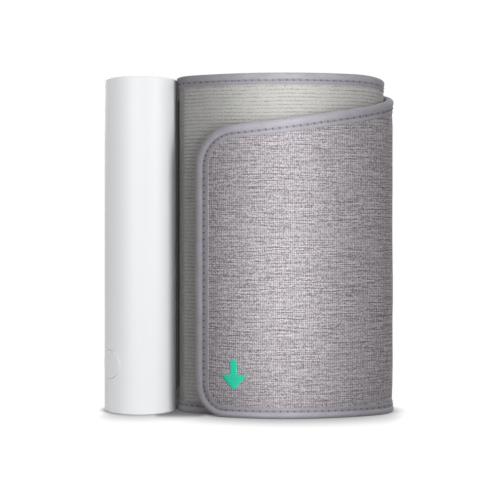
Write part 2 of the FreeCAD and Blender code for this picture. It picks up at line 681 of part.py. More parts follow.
def pump():
    bore = S.shaft_radius + S.shaft_gap
    shaft_start = MOTOR_END - S.shaft_depth
    motor = turned("motor_can", [
        (0, MOTOR_START), (MOTOR_RADIUS, MOTOR_START), (MOTOR_RADIUS, MOTOR_END), (bore, MOTOR_END),
        (bore, shaft_start - S.shaft_floor), (0, shaft_start - S.shaft_floor)])
    keep(seat_on_stack(motor), "pump_motor")
    sleeve = (MOTOR_START + S.damper_inset, MOTOR_END - S.damper_inset)
    damper = pipe("motor_sleeve", MOTOR_RADIUS + S.damper_thick, MOTOR_RADIUS, sleeve)
    keep(seat_on_stack(damper), "pump_damper")
    floor = MOTOR_END + S.head_wall
    inside = HEAD_RADIUS - S.head_wall
    head = turned("head_cup", [
        (bore, MOTOR_END), (HEAD_RADIUS, MOTOR_END), (HEAD_RADIUS, HEAD_END), (inside, HEAD_END),
        (inside, floor), (bore, floor)])
    keep(seat_on_stack(head), "pump_head")
    crank_start = floor + S.crank_lift
    crank_end = crank_start + S.crank_thick
    pin_end = crank_end + S.pin_length
    shaft = rod("shaft", S.shaft_radius, (shaft_start, crank_end))
    crank = rod("crank", S.crank_radius, (crank_start, crank_end))
    pin = rod("crank_pin", S.pin_radius, (crank_start, pin_end), S.pin_throw)
    keep(seat_on_stack(fuse("crankshaft", shaft, crank, pin)), "pump_shaft")
    plate_start = pin_end + S.plate_gap
    plate_end = plate_start + S.plate_thick
    plate = rod("drive_disc", inside - S.plate_side_gap, (plate_start, plate_end))
    keep(seat_on_stack(plate), "pump_drive_plate")
    membrane_radius = inside - S.running_gap
    membrane = rod("membrane", membrane_radius, (HEAD_END - S.head_wall, HEAD_END))
    cup_ring = inside - S.cup_gap - S.cup_radius
    cups = []
    for number in range(CUPS):
        angle = 2 * math.pi * number / CUPS
        x = cup_ring * math.cos(angle)
        y = cup_ring * math.sin(angle)
        cups.append(rod("cup", S.cup_radius, (plate_end, HEAD_END), x, y))
    keep(seat_on_stack(fuse("membrane_and_cups", membrane, *cups)), "pump_diaphragm")
    nipple_end = COVER_END + S.nipple_length
    cover = turned("cover_turned", [
        (S.nipple_bore, HEAD_END), (HEAD_RADIUS, HEAD_END), (HEAD_RADIUS, COVER_END),
        (S.nipple_radius, COVER_END), (S.nipple_radius, nipple_end), (S.nipple_bore, nipple_end)])
    keep(seat_on_stack(cover), "pump_cover")
    hose_bore = S.nipple_radius + S.hose_fit
    hose = pipe("hose_sleeve", hose_bore + S.hose_wall, hose_bore, (COVER_END, MANIFOLD_START))
    keep(seat_on_stack(hose), "pump_hose")


def manifold():
    """Block that joins pump, valve, pressure sensor and the nozzle into the cuff"""
    x = (STACK_ACROSS - MANIFOLD_SIDE / 2, STACK_ACROSS + MANIFOLD_SIDE / 2)
    y = (-S.nozzle_radius - S.manifold_wall, STACK_BACK + MANIFOLD_SIDE / 2)
    solid = block("manifold_block", x, y, (MANIFOLD_START, MANIFOLD_END))
    socket_span = (MANIFOLD_START - S.overrun, MANIFOLD_START + S.hose_bite + S.running_gap)
    socket = rod("pump_socket", S.nipple_radius + S.hose_fit, socket_span, STACK_ACROSS, STACK_BACK)
    riser_span = (MANIFOLD_START, MANIFOLD_END + S.overrun)
    riser = rod("riser", S.nipple_bore, riser_span, STACK_ACROSS, STACK_BACK)
    inlet = STACK_ACROSS - S.nipple_bore
    hole_span = (inlet, STRIP_FACE)
    hole = level_rod("nozzle_socket", S.nozzle_radius + S.nozzle_fit, hole_span, NOZZLE_HEIGHT)
    cross = block(
        "cross_bore", (inlet, STACK_ACROSS + S.nipple_bore), (as_size(0), STACK_BACK),
        (NOZZLE_HEIGHT - S.nipple_bore, NOZZLE_HEIGHT + S.nipple_bore))
    bored = cut("manifold_bored", solid, socket, riser, hole, cross)
    keep(seat_in_tube(bored, turned_to_front=False), "air_manifold")
    sensor_x = x[0] + S.sensor_inset
    sensor_z = MANIFOLD_START + S.sensor_inset
    sensor = block(
        "sensor_case", (sensor_x, sensor_x + S.sensor_side), (y[1], y[1] + S.sensor_thick),
        (sensor_z, sensor_z + S.sensor_side))
    keep(seat_in_tube(sensor, turned_to_front=False), "pressure_sensor")
    gasket_span = (x[1], BAR_INNER)
    ring = level_rod("gasket_ring", S.gasket_radius, gasket_span, NOZZLE_HEIGHT)
    bore = level_rod("gasket_bore", S.nozzle_radius + S.nozzle_fit, hole_span, NOZZLE_HEIGHT)
    keep(seat_in_tube(cut("gasket_bored", ring, bore), turned_to_front=False), "nozzle_gasket")


def valve():
    """Solenoid that lets the cuff's air out; its plunger drops onto the seat to shut it"""
    side = around(MANIFOLD_SIDE)
    start = MANIFOLD_END
    end = start + S.valve_height
    floor = start + S.valve_floor
    roof = end - S.valve_floor
    case = block("valve_case", side, side, (start, end))
    bore = MANIFOLD_SIDE / 2 - S.valve_wall
    hollow = rod("valve_hollow", bore, (floor, roof))
    port = rod("valve_port", S.nipple_bore, (start - S.overrun, floor + S.overrun))
    keep(seat_on_stack(cut("valve_hollowed", case, hollow, port)), "valve_body")
    plunger_radius = bore * PLUNGER_SHARE
    coil_inner = plunger_radius + S.coil_gap
    seat_top = floor + S.seat_thick
    seat = pipe("seat_ring", coil_inner, S.nipple_bore, (floor, seat_top))
    keep(seat_on_stack(seat), "valve_seat")
    coil = pipe("coil_ring", bore - S.coil_fit, coil_inner, (seat_top, roof - S.coil_short))
    keep(seat_on_stack(coil), "valve_coil")
    nose_end = seat_top + S.plunger_stroke + S.plunger_stop
    shoulder = nose_end + S.nose_length
    slug = turned("plunger_slug", [
        (0, nose_end), (S.nose_radius, nose_end), (S.nose_radius, shoulder), (plunger_radius, shoulder),
        (plunger_radius, roof - S.plunger_top), (0, roof - S.plunger_top)])
    keep(seat_on_stack(slug), "valve_plunger")
    spring_bore = S.nose_radius + S.running_gap
    spring_end = shoulder - S.plunger_stroke - S.plunger_stop
    spring = pipe("nose_sleeve", spring_bore + S.spring_wall, spring_bore, (seat_top, spring_end))
    keep(seat_on_stack(spring), "valve_spring")


# The rail that joins the cuff to the tube

def rail_screw_heights():
    return [S.rail_inset + (RAIL_END - S.rail_inset) * share for share in RAIL_SCREW_SHARES]


def rail():
    nozzle_hole = (STACK_ACROSS, STRIP_FACE + STRIP_THICK)
    nozzle_bore = S.nozzle_radius + S.nozzle_fit
    thread_end = BAR_OUTER + S.rail_screw_reach
    screw_bore = S.rail_screw_radius + S.screw_fit
    bar = block("bar_blank", (BAR_INNER, BAR_OUTER), around(BAR_WIDTH), (S.rail_inset, RAIL_END))
    bar_holes = [level_rod("bar_nozzle_hole", nozzle_bore, nozzle_hole, NOZZLE_HEIGHT)]
    rail_holes = [level_rod("rail_nozzle_hole", nozzle_bore, nozzle_hole, NOZZLE_HEIGHT)]
    screws = []
    for z in rail_screw_heights():
        bar_holes.append(level_rod("bar_screw_hole", screw_bore, (BAR_INNER, BAR_OUTER), z))
        rail_holes.append(level_rod("rail_screw_hole", screw_bore, (BAR_OUTER, thread_end), z))
        shank = level_rod("rail_screw_shank", S.rail_screw_radius, (BAR_INNER, thread_end), z)
        head_span = (BAR_INNER - S.rail_screw_head, BAR_INNER)
        head = level_rod("rail_screw_cap", S.rail_screw_radius * 2, head_span, z)
        screws.append(fuse("rail_screw", shank, head))
    keep(seat_in_tube(cut("bar_drilled", bar, *bar_holes), turned_to_front=False), "rail_bar")
    keep(seat_in_tube(group("rail_screw_set", screws), turned_to_front=False), "rail_screws")
    neck_end = STRIP_FACE + S.skin_thick * NECK_SHARE
    neck = block("rail_neck_block", (BAR_OUTER, neck_end), around(S.rail_neck), (S.rail_inset, RAIL_END))
    shell = strip(RAIL_ANGLES, 0, S.skin_thick, S.binding_width, S.cuff_height - S.binding_width)
    shell.translate(FreeCAD.Vector(-float(TUBE_X), -float(TUBE_Y), 0))
    joined = fuse("rail_joined", neck, coded("rail_flange", shell))
    keep(seat_in_tube(cut("rail_drilled", joined, *rail_holes), turned_to_front=False), "cuff_rail")
    nozzle_end = STRIP_FACE + PADDING_FACE + S.padding_thick / 2
    barrel_span = (STACK_ACROSS + S.nipple_bore * 2, nozzle_end)
    barrel = level_rod("nozzle_barrel", S.nozzle_radius, barrel_span, NOZZLE_HEIGHT)
    bore_span = (STACK_ACROSS, nozzle_end + S.overrun)
    bore = level_rod("nozzle_bore_cut", S.nipple_bore, bore_span, NOZZLE_HEIGHT)
    keep(seat_in_tube(cut("nozzle_bored", barrel, bore), turned_to_front=False), "air_nozzle")


# The rolled cuff

def strip(angles, outer, inner, low, high):
    """Layer of the rolled strip between two angles, two depths under its outer face and two heights"""
    outside = []
    inside = []
    for x, y, radius, first, last in ARCS:
        start, end = max(first, angles[0]), min(last, angles[1])
        if start < end:
            outside.append(arc_points(x, y, radius - float(outer), start, end))
            inside.append(arc_points(x, y, radius - float(inner), start, end))
    edges = [Part.Arc(*points).toShape() for points in outside]
    edges.append(Part.makeLine(outside[-1][2], inside[-1][2]))
    edges += [Part.Arc(*reversed(points)).toShape() for points in reversed(inside)]
    edges.append(Part.makeLine(inside[0][0], outside[0][0]))
    face = Part.Face(Part.Wire(edges))
    face.translate(FreeCAD.Vector(0, 0, float(low)))
    return face.extrude(FreeCAD.Vector(0, 0, float(high) - float(low)))


def arc_points(x, y, radius, start, end):
    """First, middle and last point of an arc of the roll"""
    points = []
    for angle in (start, (start + end) / 2, end):
        turn = math.radians(angle)
        points.append(FreeCAD.Vector(
            float(ROLL_X) + x + radius * math.cos(turn), y + radius * math.sin(turn), 0))
    return points


def upright_face(points, radii):
    """Face in the XZ plane with rounded corners; each point is (x, z)"""
    corners = [FreeCAD.Vector(x, 0, z) for x, z in points]
    ends = []
    edges = []
    for index, (corner, radius) in enumerate(zip(corners, radii)):
        before = (corners[index - 1] - corner).normalize()
        after = (corners[(index + 1) % len(corners)] - corner).normalize()
        if radius <= 0:
            ends.append((corner, corner))
            continue
        half = before.getAngle(after) / 2
        reach = radius / math.tan(half)
        middle = corner + (before + after).normalize() * (radius / math.sin(half) - radius)
        ends.append((corner + before * reach, corner + after * reach))
        edges.append(Part.Arc(ends[-1][0], middle, ends[-1][1]).toShape())
    for index, (_, leave) in enumerate(ends):
        edges.append(Part.makeLine(leave, ends[(index + 1) % len(ends)][0]))
    return Part.Face(Part.Wire(Part.__sortEdges__(edges)))


def through_front(face):
    """Prism of an upright face from the roll's middle plane forwards"""
    return face.extrude(FreeCAD.Vector(0, -float(S.roll_depth), 0))


ROLL_RIGHT = float(ROLL_X + S.roll_width / 2)
FLAP_EDGE = float(ROLL_X - S.flap_reach)
FLAP_TIP_TOP = float(S.cuff_height - S.flap_tip_drop)
FLAP_ROOT_TOP = float(S.cuff_height - S.flap_root_drop)
TOP_SLOPE = (FLAP_ROOT_TOP - FLAP_TIP_TOP) / (ROLL_RIGHT - FLAP_EDGE)


def front_top(x):
    """Height of the strip's upper edge along the front"""
    return FLAP_TIP_TOP + TOP_SLOPE * (x - FLAP_EDGE)


def flap_face(inset):
    """Flap's outline, drawn in from its free edges"""
    inset = float(inset)
    drop = inset * math.hypot(1, TOP_SLOPE)
    left = FLAP_EDGE + inset
    right = ROLL_RIGHT
    corner = float(S.flap_corner) - inset
    points = [(right, inset), (left, inset), (left, front_top(left) - drop), (right, front_top(right) - drop)]
    return upright_face(points, [0, corner, corner, 0])


def edge_prism(front, inset, level):
    """Prism between the outer turn's upper edge, lowered by an inset, and a level above or below it"""
    inset = float(inset)
    left = -float(WHOLE_WIDTH)
    right = float(WHOLE_WIDTH)
    if front:
        line = [(left, front_top(left) - inset), (right, front_top(right) - inset)]
    else:
        height = float(S.cuff_height)
        level_off = ROLL_RIGHT - float(S.flap_root_drop) / TOP_SLOPE
        line = [(left, height - inset), (level_off, height - inset)]
        line.append((right, FLAP_ROOT_TOP - TOP_SLOPE * (right - ROLL_RIGHT) - inset))
    points = line + [(right, float(level)), (left, float(level))]
    depth = -float(S.roll_depth) if front else float(S.roll_depth)
    return upright_face(points, [0] * len(points)).extrude(FreeCAD.Vector(0, depth, 0))


def under_edge(shape, inset):
    """Trim a layer of the outer turn to its sloping upper edge"""
    above = S.cuff_height + S.overrun
    return shape.cut(edge_prism(True, inset, above)).cut(edge_prism(False, inset, above))


def outer_turn():
    """Strip from the flap's bend round the back to the tube"""
    low = S.binding_width
    high = S.cuff_height
    skin = strip((OUTER_START, RAIL_ANGLES[0]), 0, S.skin_thick, low, high)
    keep(coded("skin_of_outer_turn", under_edge(skin, S.binding_width)), "outer_skin")
    padding_end = PADDING_FACE + S.padding_thick
    padding = strip((OUTER_START, BLADDER_START), PADDING_FACE, padding_end, low, high)
    keep(coded("padding_of_outer_turn", under_edge(padding, S.binding_width)), "outer_padding")
    bladder = strip((BLADDER_START, BLADDER_END), PADDING_FACE, padding_end, low, high)
    hole_start = FreeCAD.Vector(float(TUBE_X), float(TUBE_Y), float(NOZZLE_HEIGHT))
    hole_length = float(STRIP_FACE + LINING_FACE - S.glue_gap)
    hole_radius = float(S.nozzle_radius + S.nozzle_fit)
    hole = Part.makeCylinder(hole_radius, hole_length, hole_start, FreeCAD.Vector(1, 0, 0))
    bladder = under_edge(bladder, S.binding_width).cut(hole)
    keep(coded("bladder_sheet", bladder), "cuff_bladder")
    lining = strip((OUTER_START, LEFT_ANGLE), LINING_FACE, STRIP_THICK, low, high)
    keep(coded("lining_of_outer_turn", under_edge(lining, S.binding_width)), "outer_lining")
    tape_faces = (-S.binding_proud, STRIP_THICK + S.binding_proud)
    tape_angles = (OUTER_START, LEFT_ANGLE)
    tape = under_edge(strip(tape_angles, *tape_faces, low, high), 0)
    below = -S.overrun
    tape = tape.cut(edge_prism(True, S.binding_width, below)).cut(edge_prism(False, S.binding_width, below))
    keep(coded("upper_tape_of_outer_turn", tape), "outer_top_binding")
    lower = strip(tape_angles, *tape_faces, 0, low)
    keep(coded("lower_tape_of_outer_turn", lower), "outer_bottom_binding")


def inner_turns():
    """Strip from the tube round the inside of the roll to its inner end"""
    low = S.binding_width
    high = S.cuff_height - S.binding_width
    padding_end = PADDING_FACE + S.padding_thick
    skin = strip((RAIL_ANGLES[1], END_TAPE), 0, S.skin_thick, low, high)
    keep(coded("skin_of_inner_turns", skin), "loop_skin")
    padding = strip((BLADDER_END, END_TAPE), PADDING_FACE, padding_end, low, high)
    keep(coded("padding_of_inner_turns", padding), "inner_padding")
    lining = strip((LEFT_ANGLE, END_TAPE), LINING_FACE, STRIP_THICK, low, high)
    keep(coded("lining_of_inner_turns", lining), "inner_lining")
    tape_faces = (-S.binding_proud, STRIP_THICK + S.binding_proud)
    tape_angles = (LEFT_ANGLE, END_ANGLE)
    keep(coded("upper_tape", strip(tape_angles, *tape_faces, high, S.cuff_height)), "inner_top_binding")
    keep(coded("lower_tape", strip(tape_angles, *tape_faces, 0, low)), "inner_bottom_binding")
    keep(coded("end_tape", strip((END_TAPE, END_ANGLE), *tape_faces, low, high)), "inner_end_binding")


def flap():
    """Free end of the strip, with its edge tape, hook patch and index mark"""
    angles = (TIP_ANGLE, HINGE_ANGLE)
    outline = through_front(flap_face(0))
    field = through_front(flap_face(S.binding_width))
    padding_end = PADDING_FACE + S.padding_thick
    layers = (
        ("flap_skin", 0, S.skin_thick),
        ("flap_padding", PADDING_FACE, padding_end),
        ("flap_lining", LINING_FACE, STRIP_THICK),
    )
    for label, outer, inner in layers:
        layer = strip(angles, outer, inner, 0, S.cuff_height)
        keep(coded("sheet_of_" + label, layer.common(field)), label)
    tape_faces = (-S.binding_proud, STRIP_THICK + S.binding_proud)
    tape = strip(angles, *tape_faces, 0, S.cuff_height)
    keep(coded("tape_of_flap", tape.common(outline).cut(field)), "flap_binding")
    edge = S.binding_width + S.hook_inset
    low = float(edge)
    left = FLAP_EDGE + low
    right = left + float(S.hook_width)
    patch_face = upright_face(
        [(right, low), (left, low), (left, front_top(left) - low), (right, front_top(right) - low)],
        [0, float(S.flap_corner) - float(S.binding_width), float(S.flap_corner) - float(S.binding_width), 0])
    patch = strip(angles, STRIP_THICK, STRIP_THICK + S.hook_thick, 0, S.cuff_height)
    keep(coded("patch_of_hooks", patch.common(through_front(patch_face))), "hook_patch")
    film = strip(angles, -S.mark_thick, 0, 0, S.cuff_height)
    keep(coded("mark_on_flap", film.common(through_front(mark_face()))), "index_mark")


def mark_face():
    """Artery index: an arrow that points down"""
    x = FLAP_EDGE + float(S.mark_side)
    z = float(S.mark_height)
    top = z + float(S.mark_size) / 2
    tip = z - float(S.mark_size) / 2
    neck = tip + float(S.mark_head)
    shaft = float(S.mark_stroke) / 2
    wing = float(S.mark_width) / 2
    points = [
        (x, tip), (x + wing, neck), (x + shaft, neck), (x + shaft, top), (x - shaft, top), (x - shaft, neck),
        (x - wing, neck)]
    return upright_face(points, [0] * len(points))


def write_parts():
    """Check every object, then write each sub-part to its file"""
    doc.recompute()
    failed = [obj.Label for obj in doc.Objects if {"Invalid", "Error"} & set(obj.State)]
    if failed:
        raise RuntimeError("objects that failed: " + ", ".join(failed))
    for obj in parts:
        if obj.Shape.isNull() or not obj.Shape.isValid() or not obj.Shape.Solids:
            raise RuntimeError("no sound solid in " + obj.Label)
    os.makedirs("parts", exist_ok=True)
    for obj in parts:
        obj.Shape.exportStep(f"parts/{obj.Label}.step")
        print(f"{obj.Label}: {len(obj.Shape.Solids)} solids, {obj.Shape.Volume:.1f} mm3")


tube_housing()
end_caps()
button()
chassis()
board()
display()
battery()
pump()
manifold()
valve()
rail()
outer_turn()
inner_turns()
flap()
write_parts()
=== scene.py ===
import math

import bpy
import numpy as np
from bpy.props import FloatProperty, FloatVectorProperty, PointerProperty
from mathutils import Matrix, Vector, noise


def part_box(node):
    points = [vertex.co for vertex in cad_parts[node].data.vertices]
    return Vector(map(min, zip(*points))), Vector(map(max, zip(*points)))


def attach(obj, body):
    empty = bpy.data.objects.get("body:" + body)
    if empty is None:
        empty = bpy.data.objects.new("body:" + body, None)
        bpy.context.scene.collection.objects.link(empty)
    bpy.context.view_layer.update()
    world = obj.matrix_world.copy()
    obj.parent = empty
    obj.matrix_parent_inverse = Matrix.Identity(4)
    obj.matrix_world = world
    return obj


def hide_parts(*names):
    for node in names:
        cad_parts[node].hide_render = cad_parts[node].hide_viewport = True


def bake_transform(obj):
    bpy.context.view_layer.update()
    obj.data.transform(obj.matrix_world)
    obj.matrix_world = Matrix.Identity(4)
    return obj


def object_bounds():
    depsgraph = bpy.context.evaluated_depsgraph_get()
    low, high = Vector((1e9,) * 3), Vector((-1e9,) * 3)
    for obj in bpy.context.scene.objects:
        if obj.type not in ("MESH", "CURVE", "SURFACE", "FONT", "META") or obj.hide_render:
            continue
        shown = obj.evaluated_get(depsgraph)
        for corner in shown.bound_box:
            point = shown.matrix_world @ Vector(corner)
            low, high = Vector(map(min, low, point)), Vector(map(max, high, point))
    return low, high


bl_info = {
    "name": "Arm Cuff Monitor",
    "version": (1, 0, 0),
    "blender": (4, 5, 0),
    "location": "View3D > Sidebar > Monitor",
    "description": "Dresses a tube-shaped blood pressure monitor and its rolled arm cuff",
    "category": "Object",
}

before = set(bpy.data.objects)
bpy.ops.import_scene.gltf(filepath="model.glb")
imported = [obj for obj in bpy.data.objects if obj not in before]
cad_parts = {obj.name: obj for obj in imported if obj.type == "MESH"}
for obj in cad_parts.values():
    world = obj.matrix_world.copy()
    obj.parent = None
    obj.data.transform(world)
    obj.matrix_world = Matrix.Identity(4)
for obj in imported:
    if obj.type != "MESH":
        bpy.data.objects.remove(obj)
CAD_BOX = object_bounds()
MM = 0.001

# Directions round the roll in degrees: middle of the front, right end, middle of the back, and the tube
FRONT = 270
RIGHT_END = 360
BACK = 450
TUBE_SIDE = 540
TURN = 360
# Direction where the ribs of the loop face end, out of sight at the back of the second turn
RIBS_END = 800
# Upper edge of the flap and the outer turn: direction round the roll, height
EDGE_HEIGHTS = (
    (243, 0.1275), (255.5, 0.1292), (266, 0.1309), (274.5, 0.1325), (283, 0.1346), (292, 0.1367),
    (311, 0.1391), (328, 0.1404), (338, 0.1411), (360, 0.1423), (400, 0.1452), (430, 0.1483),
    (445, 0.1504), (460, 0.1517), (475, 0.152), (540, 0.152))
# Section of the edge tape in millimetres: from its edge inwards, and out from the fabric's face
TAPE_SECTION = (
    (6.2, -0.1), (6.22, 0.06), (6.05, 0.14), (5.6, 0.17), (5.0, 0.13), (4.5, 0.04), (4.1, 0), (3.75, 0.03),
    (3.4, 0.15), (3.0, 0.36), (2.5, 0.54), (1.95, 0.63), (1.4, 0.58), (0.8, 0.36), (0.32, -0.06),
    (0.08, -0.7))
# Strip's edge under the tape from the tape's edge, and how far the tape's seam draws the cloth down
STRIP_INSET = 2.4 * MM
SEAM_DRAW = 0.2 * MM
# Outer cloth: one upright thread to the next, and one level thread to the next
THREAD_PITCH = 0.92 * MM
PICK_PITCH = 0.45 * MM
# Picture's side in pixels, and the camera's sensor in millimetres
PICTURE = 500
SENSOR = 36.0


# Sizes and colours that a user would change

def metres(label, default, note):
    return FloatProperty(name=label, description=note, default=default, unit="LENGTH", subtype="DISTANCE")


def colour(label, default, note):
    """Colour written as its usual screen values from 0 to 255"""
    linear = [((value / 255 + 0.055) / 1.055) ** 2.4 for value in default]
    return FloatVectorProperty(
        name=label, description=note, default=linear, size=3, subtype="COLOR", min=0, max=1)


class CuffSizes(bpy.types.PropertyGroup):
    """Sizes of the rolled cuff"""
    roll_width: metres("Roll width", 0.0984, "Rolled cuff from side to side, over its edge tape")
    roll_depth: metres("Roll depth", 0.048, "Rolled cuff from front to back, over its edge tape")
    end_radius: metres("End bend", 0.016, "Bend at the roll's right end")
    pitch: metres("Turn pitch", 0.0039, "One turn of the strip to the next")
    thickness: metres("Strip", 0.003, "Thickness of the padded strip")
    height: metres("Height", 0.152, "Width of the strip, which stands on its edge")
    tape_width: metres("Edge tape", 0.0062, "Width of the edge tape on each face")
    tape_proud: metres("Tape rise", 0.00025, "Edge tape over the fabric's face where the roll is measured")
    flap_reach: metres("Flap reach", 0.0407, "Flap's free edge from the roll's middle")
    flap_hinge: metres("Flap bend", 0.034, "Line where the flap bends away, from the roll's middle")
    flap_corner: metres("Flap corner", 0.0146, "Rounding of the flap's lower corner")
    flap_shoulder: metres("Flap shoulder", 0.019, "Rounding of the flap's upper corner")
    sag: metres("Sag", 0.0019, "Fall of the second turn's top at the roll's right end")
    inner_end: metres("Inner end", 0.03, "Strip's inner end from the roll's middle")
    rib_pitch: metres("Rib pitch", 0.00164, "Spacing of the ribs of the loop face")
    rib_rise: metres("Rib rise", 0.00028, "Height of those ribs")
    rib_start: metres("Plain margin", 0.0077, "Plain margin of the loop face beside the tube")
    stitch_pitch: metres("Stitch pitch", 0.003, "Spacing of the stitches in the edge tape")
    stitch_length: metres("Stitch", 0.0022, "Length of one stitch")
    stitch_inset: metres("Stitch line", 0.0041, "Stitch line from the tape's edge")


class CuffColours(bpy.types.PropertyGroup):
    """Colours of the rolled cuff"""
    thread_light: colour("Light threads", (224, 218, 222), "Light threads of the mottled outer cloth")
    thread_dark: colour("Dark threads", (122, 115, 120), "Dark threads of the mottled outer cloth")
    loop: colour("Loop face", (195, 194, 191), "Ribs of the loop face")
    loop_groove: colour("Grooves", (140, 138, 134), "Grooves between the ribs")
    tape: colour("Edge tape", (179, 175, 183), "Edge tape")
    stitch: colour("Stitches", (150, 145, 154), "Thread of the edge tape's stitches")
    lining: colour("Lining", (138, 135, 139), "Inner cloth of the strip")
    hook: colour("Hooks", (86, 84, 88), "Hook patch behind the flap")
    mark: colour("Index mark", (45, 211, 174), "Printed arrow on the flap")


class HousingColours(bpy.types.PropertyGroup):
    """Colours of the housing"""
    shell: colour("Tube", (240, 241, 243), "White tube")
    cap: colour("End caps", (232, 233, 235), "Caps in the tube's ends")
    button: colour("Button", (238, 239, 241), "Push button")


class StageSizes(bpy.types.PropertyGroup):
    """Camera and light"""
    distance: metres("Distance", 0.5408, "Camera from the object's middle plane")
    eye: metres("Camera height", 0.0883, "Camera over the floor")
    aside: metres("Camera offset", 0.0007, "Camera to the right of the object's middle")
    scale: FloatProperty(
        name="Pixels per millimetre", description="Size of the object in the picture", default=2.1884)
    foot: FloatProperty(
        name="Floor line", description="Row of the picture where the object's middle plane meets the floor",
        default=410.1)
    floor: colour("Floor", (200, 200, 201), "Light that the pale floor throws back")


# Places on the rolled strip

class Roll:
    """The cuff's strip as it lies rolled up: along it from the flap's tip, up it, and out from its face"""

    def __init__(self, sizes):
        self.thickness = sizes.thickness
        self.height = sizes.height
        self.middle = CAD_BOX[1][0] - sizes.roll_width / 2
        self.arcs = self.lay_arcs(sizes)
        self.lengths = (self.arcs[:, 2] - self.thickness / 2) * (self.arcs[:, 4] - self.arcs[:, 3])
        self.starts = np.concatenate(([0], np.cumsum(self.lengths)[:-1]))
        self.end = float(self.lengths.sum())
        self.tube_side = self.along(TUBE_SIDE)
        self.sag = sizes.sag
        self.sag_place = self.along(RIGHT_END + TURN)
        bend = math.asin(sizes.flap_hinge / self.arcs[0, 2])
        self.hinge = self.along(FRONT + math.degrees(bend))

    def lay_arcs(self, sizes):
        """Rows of x, y, radius, start and end: the strip's outer face from the flap's tip to the inner end"""
        half_width = sizes.roll_width / 2 - sizes.tape_proud
        half_depth = sizes.roll_depth / 2 - sizes.tape_proud
        end_radius = sizes.end_radius - sizes.tape_proud
        reach = half_width - end_radius
        rise = half_depth - end_radius
        side = (reach ** 2 - rise ** 2) / (2 * rise)
        radius = half_depth + side
        swing = math.atan2(reach, side)
        front, back, turn = math.radians(FRONT), math.radians(BACK), math.radians(TURN)
        start = front - math.asin(sizes.flap_reach / radius)
        rows = []
        for number in range(2):
            outer = radius - number * sizes.pitch
            base = number * turn
            x, y, bend, leave, join = self.left_bend(
                half_width - number * sizes.pitch, side, outer, sizes.pitch)
            rows.append((self.middle, side, outer, start, base + front + swing))
            rows.append((
                self.middle + reach, 0, end_radius - number * sizes.pitch, base + front + swing,
                base + back - swing))
            rows.append((self.middle, -side, outer, base + back - swing, base + turn + leave))
            rows.append((self.middle + x, y, bend, base + turn + leave, base + turn + join))
            start = base + turn + join
        inside = radius - 2 * sizes.pitch
        stop = front + 2 * turn + math.asin(sizes.inner_end / inside)
        rows.append((self.middle, side, inside, start, stop))
        return np.array(rows)

    def left_bend(self, half_width, side, outer, pitch):
        """Arc at the roll's left end that leads from the back of one turn to the front of the next"""
        inner = outer - pitch
        lean = pitch / (2 * side)
        rise = pitch * (outer + inner) / (4 * side) + side
        slope = 2 * (outer - half_width - rise * lean)
        rest = outer ** 2 - half_width ** 2 - rise ** 2
        radius = 2 * rest / (slope + math.sqrt(slope ** 2 + 4 * lean ** 2 * rest))
        x = radius - half_width
        y = rise - side - lean * radius
        return x, y, radius, math.atan2(y + side, x), math.atan2(y - side, x) + math.tau

    def along(self, direction):
        """Distance along the strip at a direction round the roll, in degrees"""
        angle = math.radians(direction)
        row = int(np.clip(np.searchsorted(self.arcs[:, 3], angle, side="right") - 1, 0, len(self.arcs) - 1))
        _, _, radius, start, _ = self.arcs[row]
        return float(self.starts[row] + (radius - self.thickness / 2) * (angle - start))

    def place(self, along, up, rise):
        """Points at distances along the strip, heights, and rises over its outer face"""
        along, up, rise = np.broadcast_arrays(along, up, rise)
        row = np.clip(np.searchsorted(self.starts, along, side="right") - 1, 0, len(self.arcs) - 1)
        x, y, radius, start, _ = np.moveaxis(self.arcs[row], -1, 0)
        angle = start + (along - self.starts[row]) / (radius - self.thickness / 2)
        out = radius + rise
        sag_reach = 10 * MM
        sag = self.sag * np.exp(-((along - self.sag_place) / sag_reach) ** 2) * (up / self.height) ** 2
        return np.stack((x + out * np.cos(angle), y + out * np.sin(angle), up - sag), -1)

    def top(self, along):
        """Height of the upper edge of the flap and the outer turn, smoothed along it"""
        directions, levels = zip(*EDGE_HEIGHTS)
        knots = [self.along(direction) for direction in directions]
        blur = 8 * MM
        steps = np.linspace(-2.5, 2.5, 41) * blur
        weights = np.exp(-(steps / blur) ** 2)
        heights = np.interp(np.asarray(along)[..., None] + steps, knots, levels)
        return heights @ weights / weights.sum()

    def blend(self, piece):
        """Puts the piece's place into its mesh; the flap's hinge point is worked out, but the piece isn't
        bent
        """
        hinge = self.place(self.hinge, 0, 0)
        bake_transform(piece)


def smooth(value, low, high):
    """Goes from 0 at low to 1 at high, level at both"""
    share = np.clip((np.asarray(value) - low) / (high - low), 0, 1)
    return share * share * (3 - 2 * share)


def waver(scale, *coordinates, layer=3.7):
    """Smooth noise between about -1 and 1 over arrays of coordinates, with its grain in metres"""
    spread = np.broadcast_arrays(*coordinates)
    flat = [np.ravel(item) / scale for item in spread]
    flat += [np.full_like(flat[0], layer)] * (3 - len(flat))
    values = [noise.noise(Vector(point)) for point in zip(*flat)]
    return np.array(values).reshape(spread[0].shape)


# Meshes

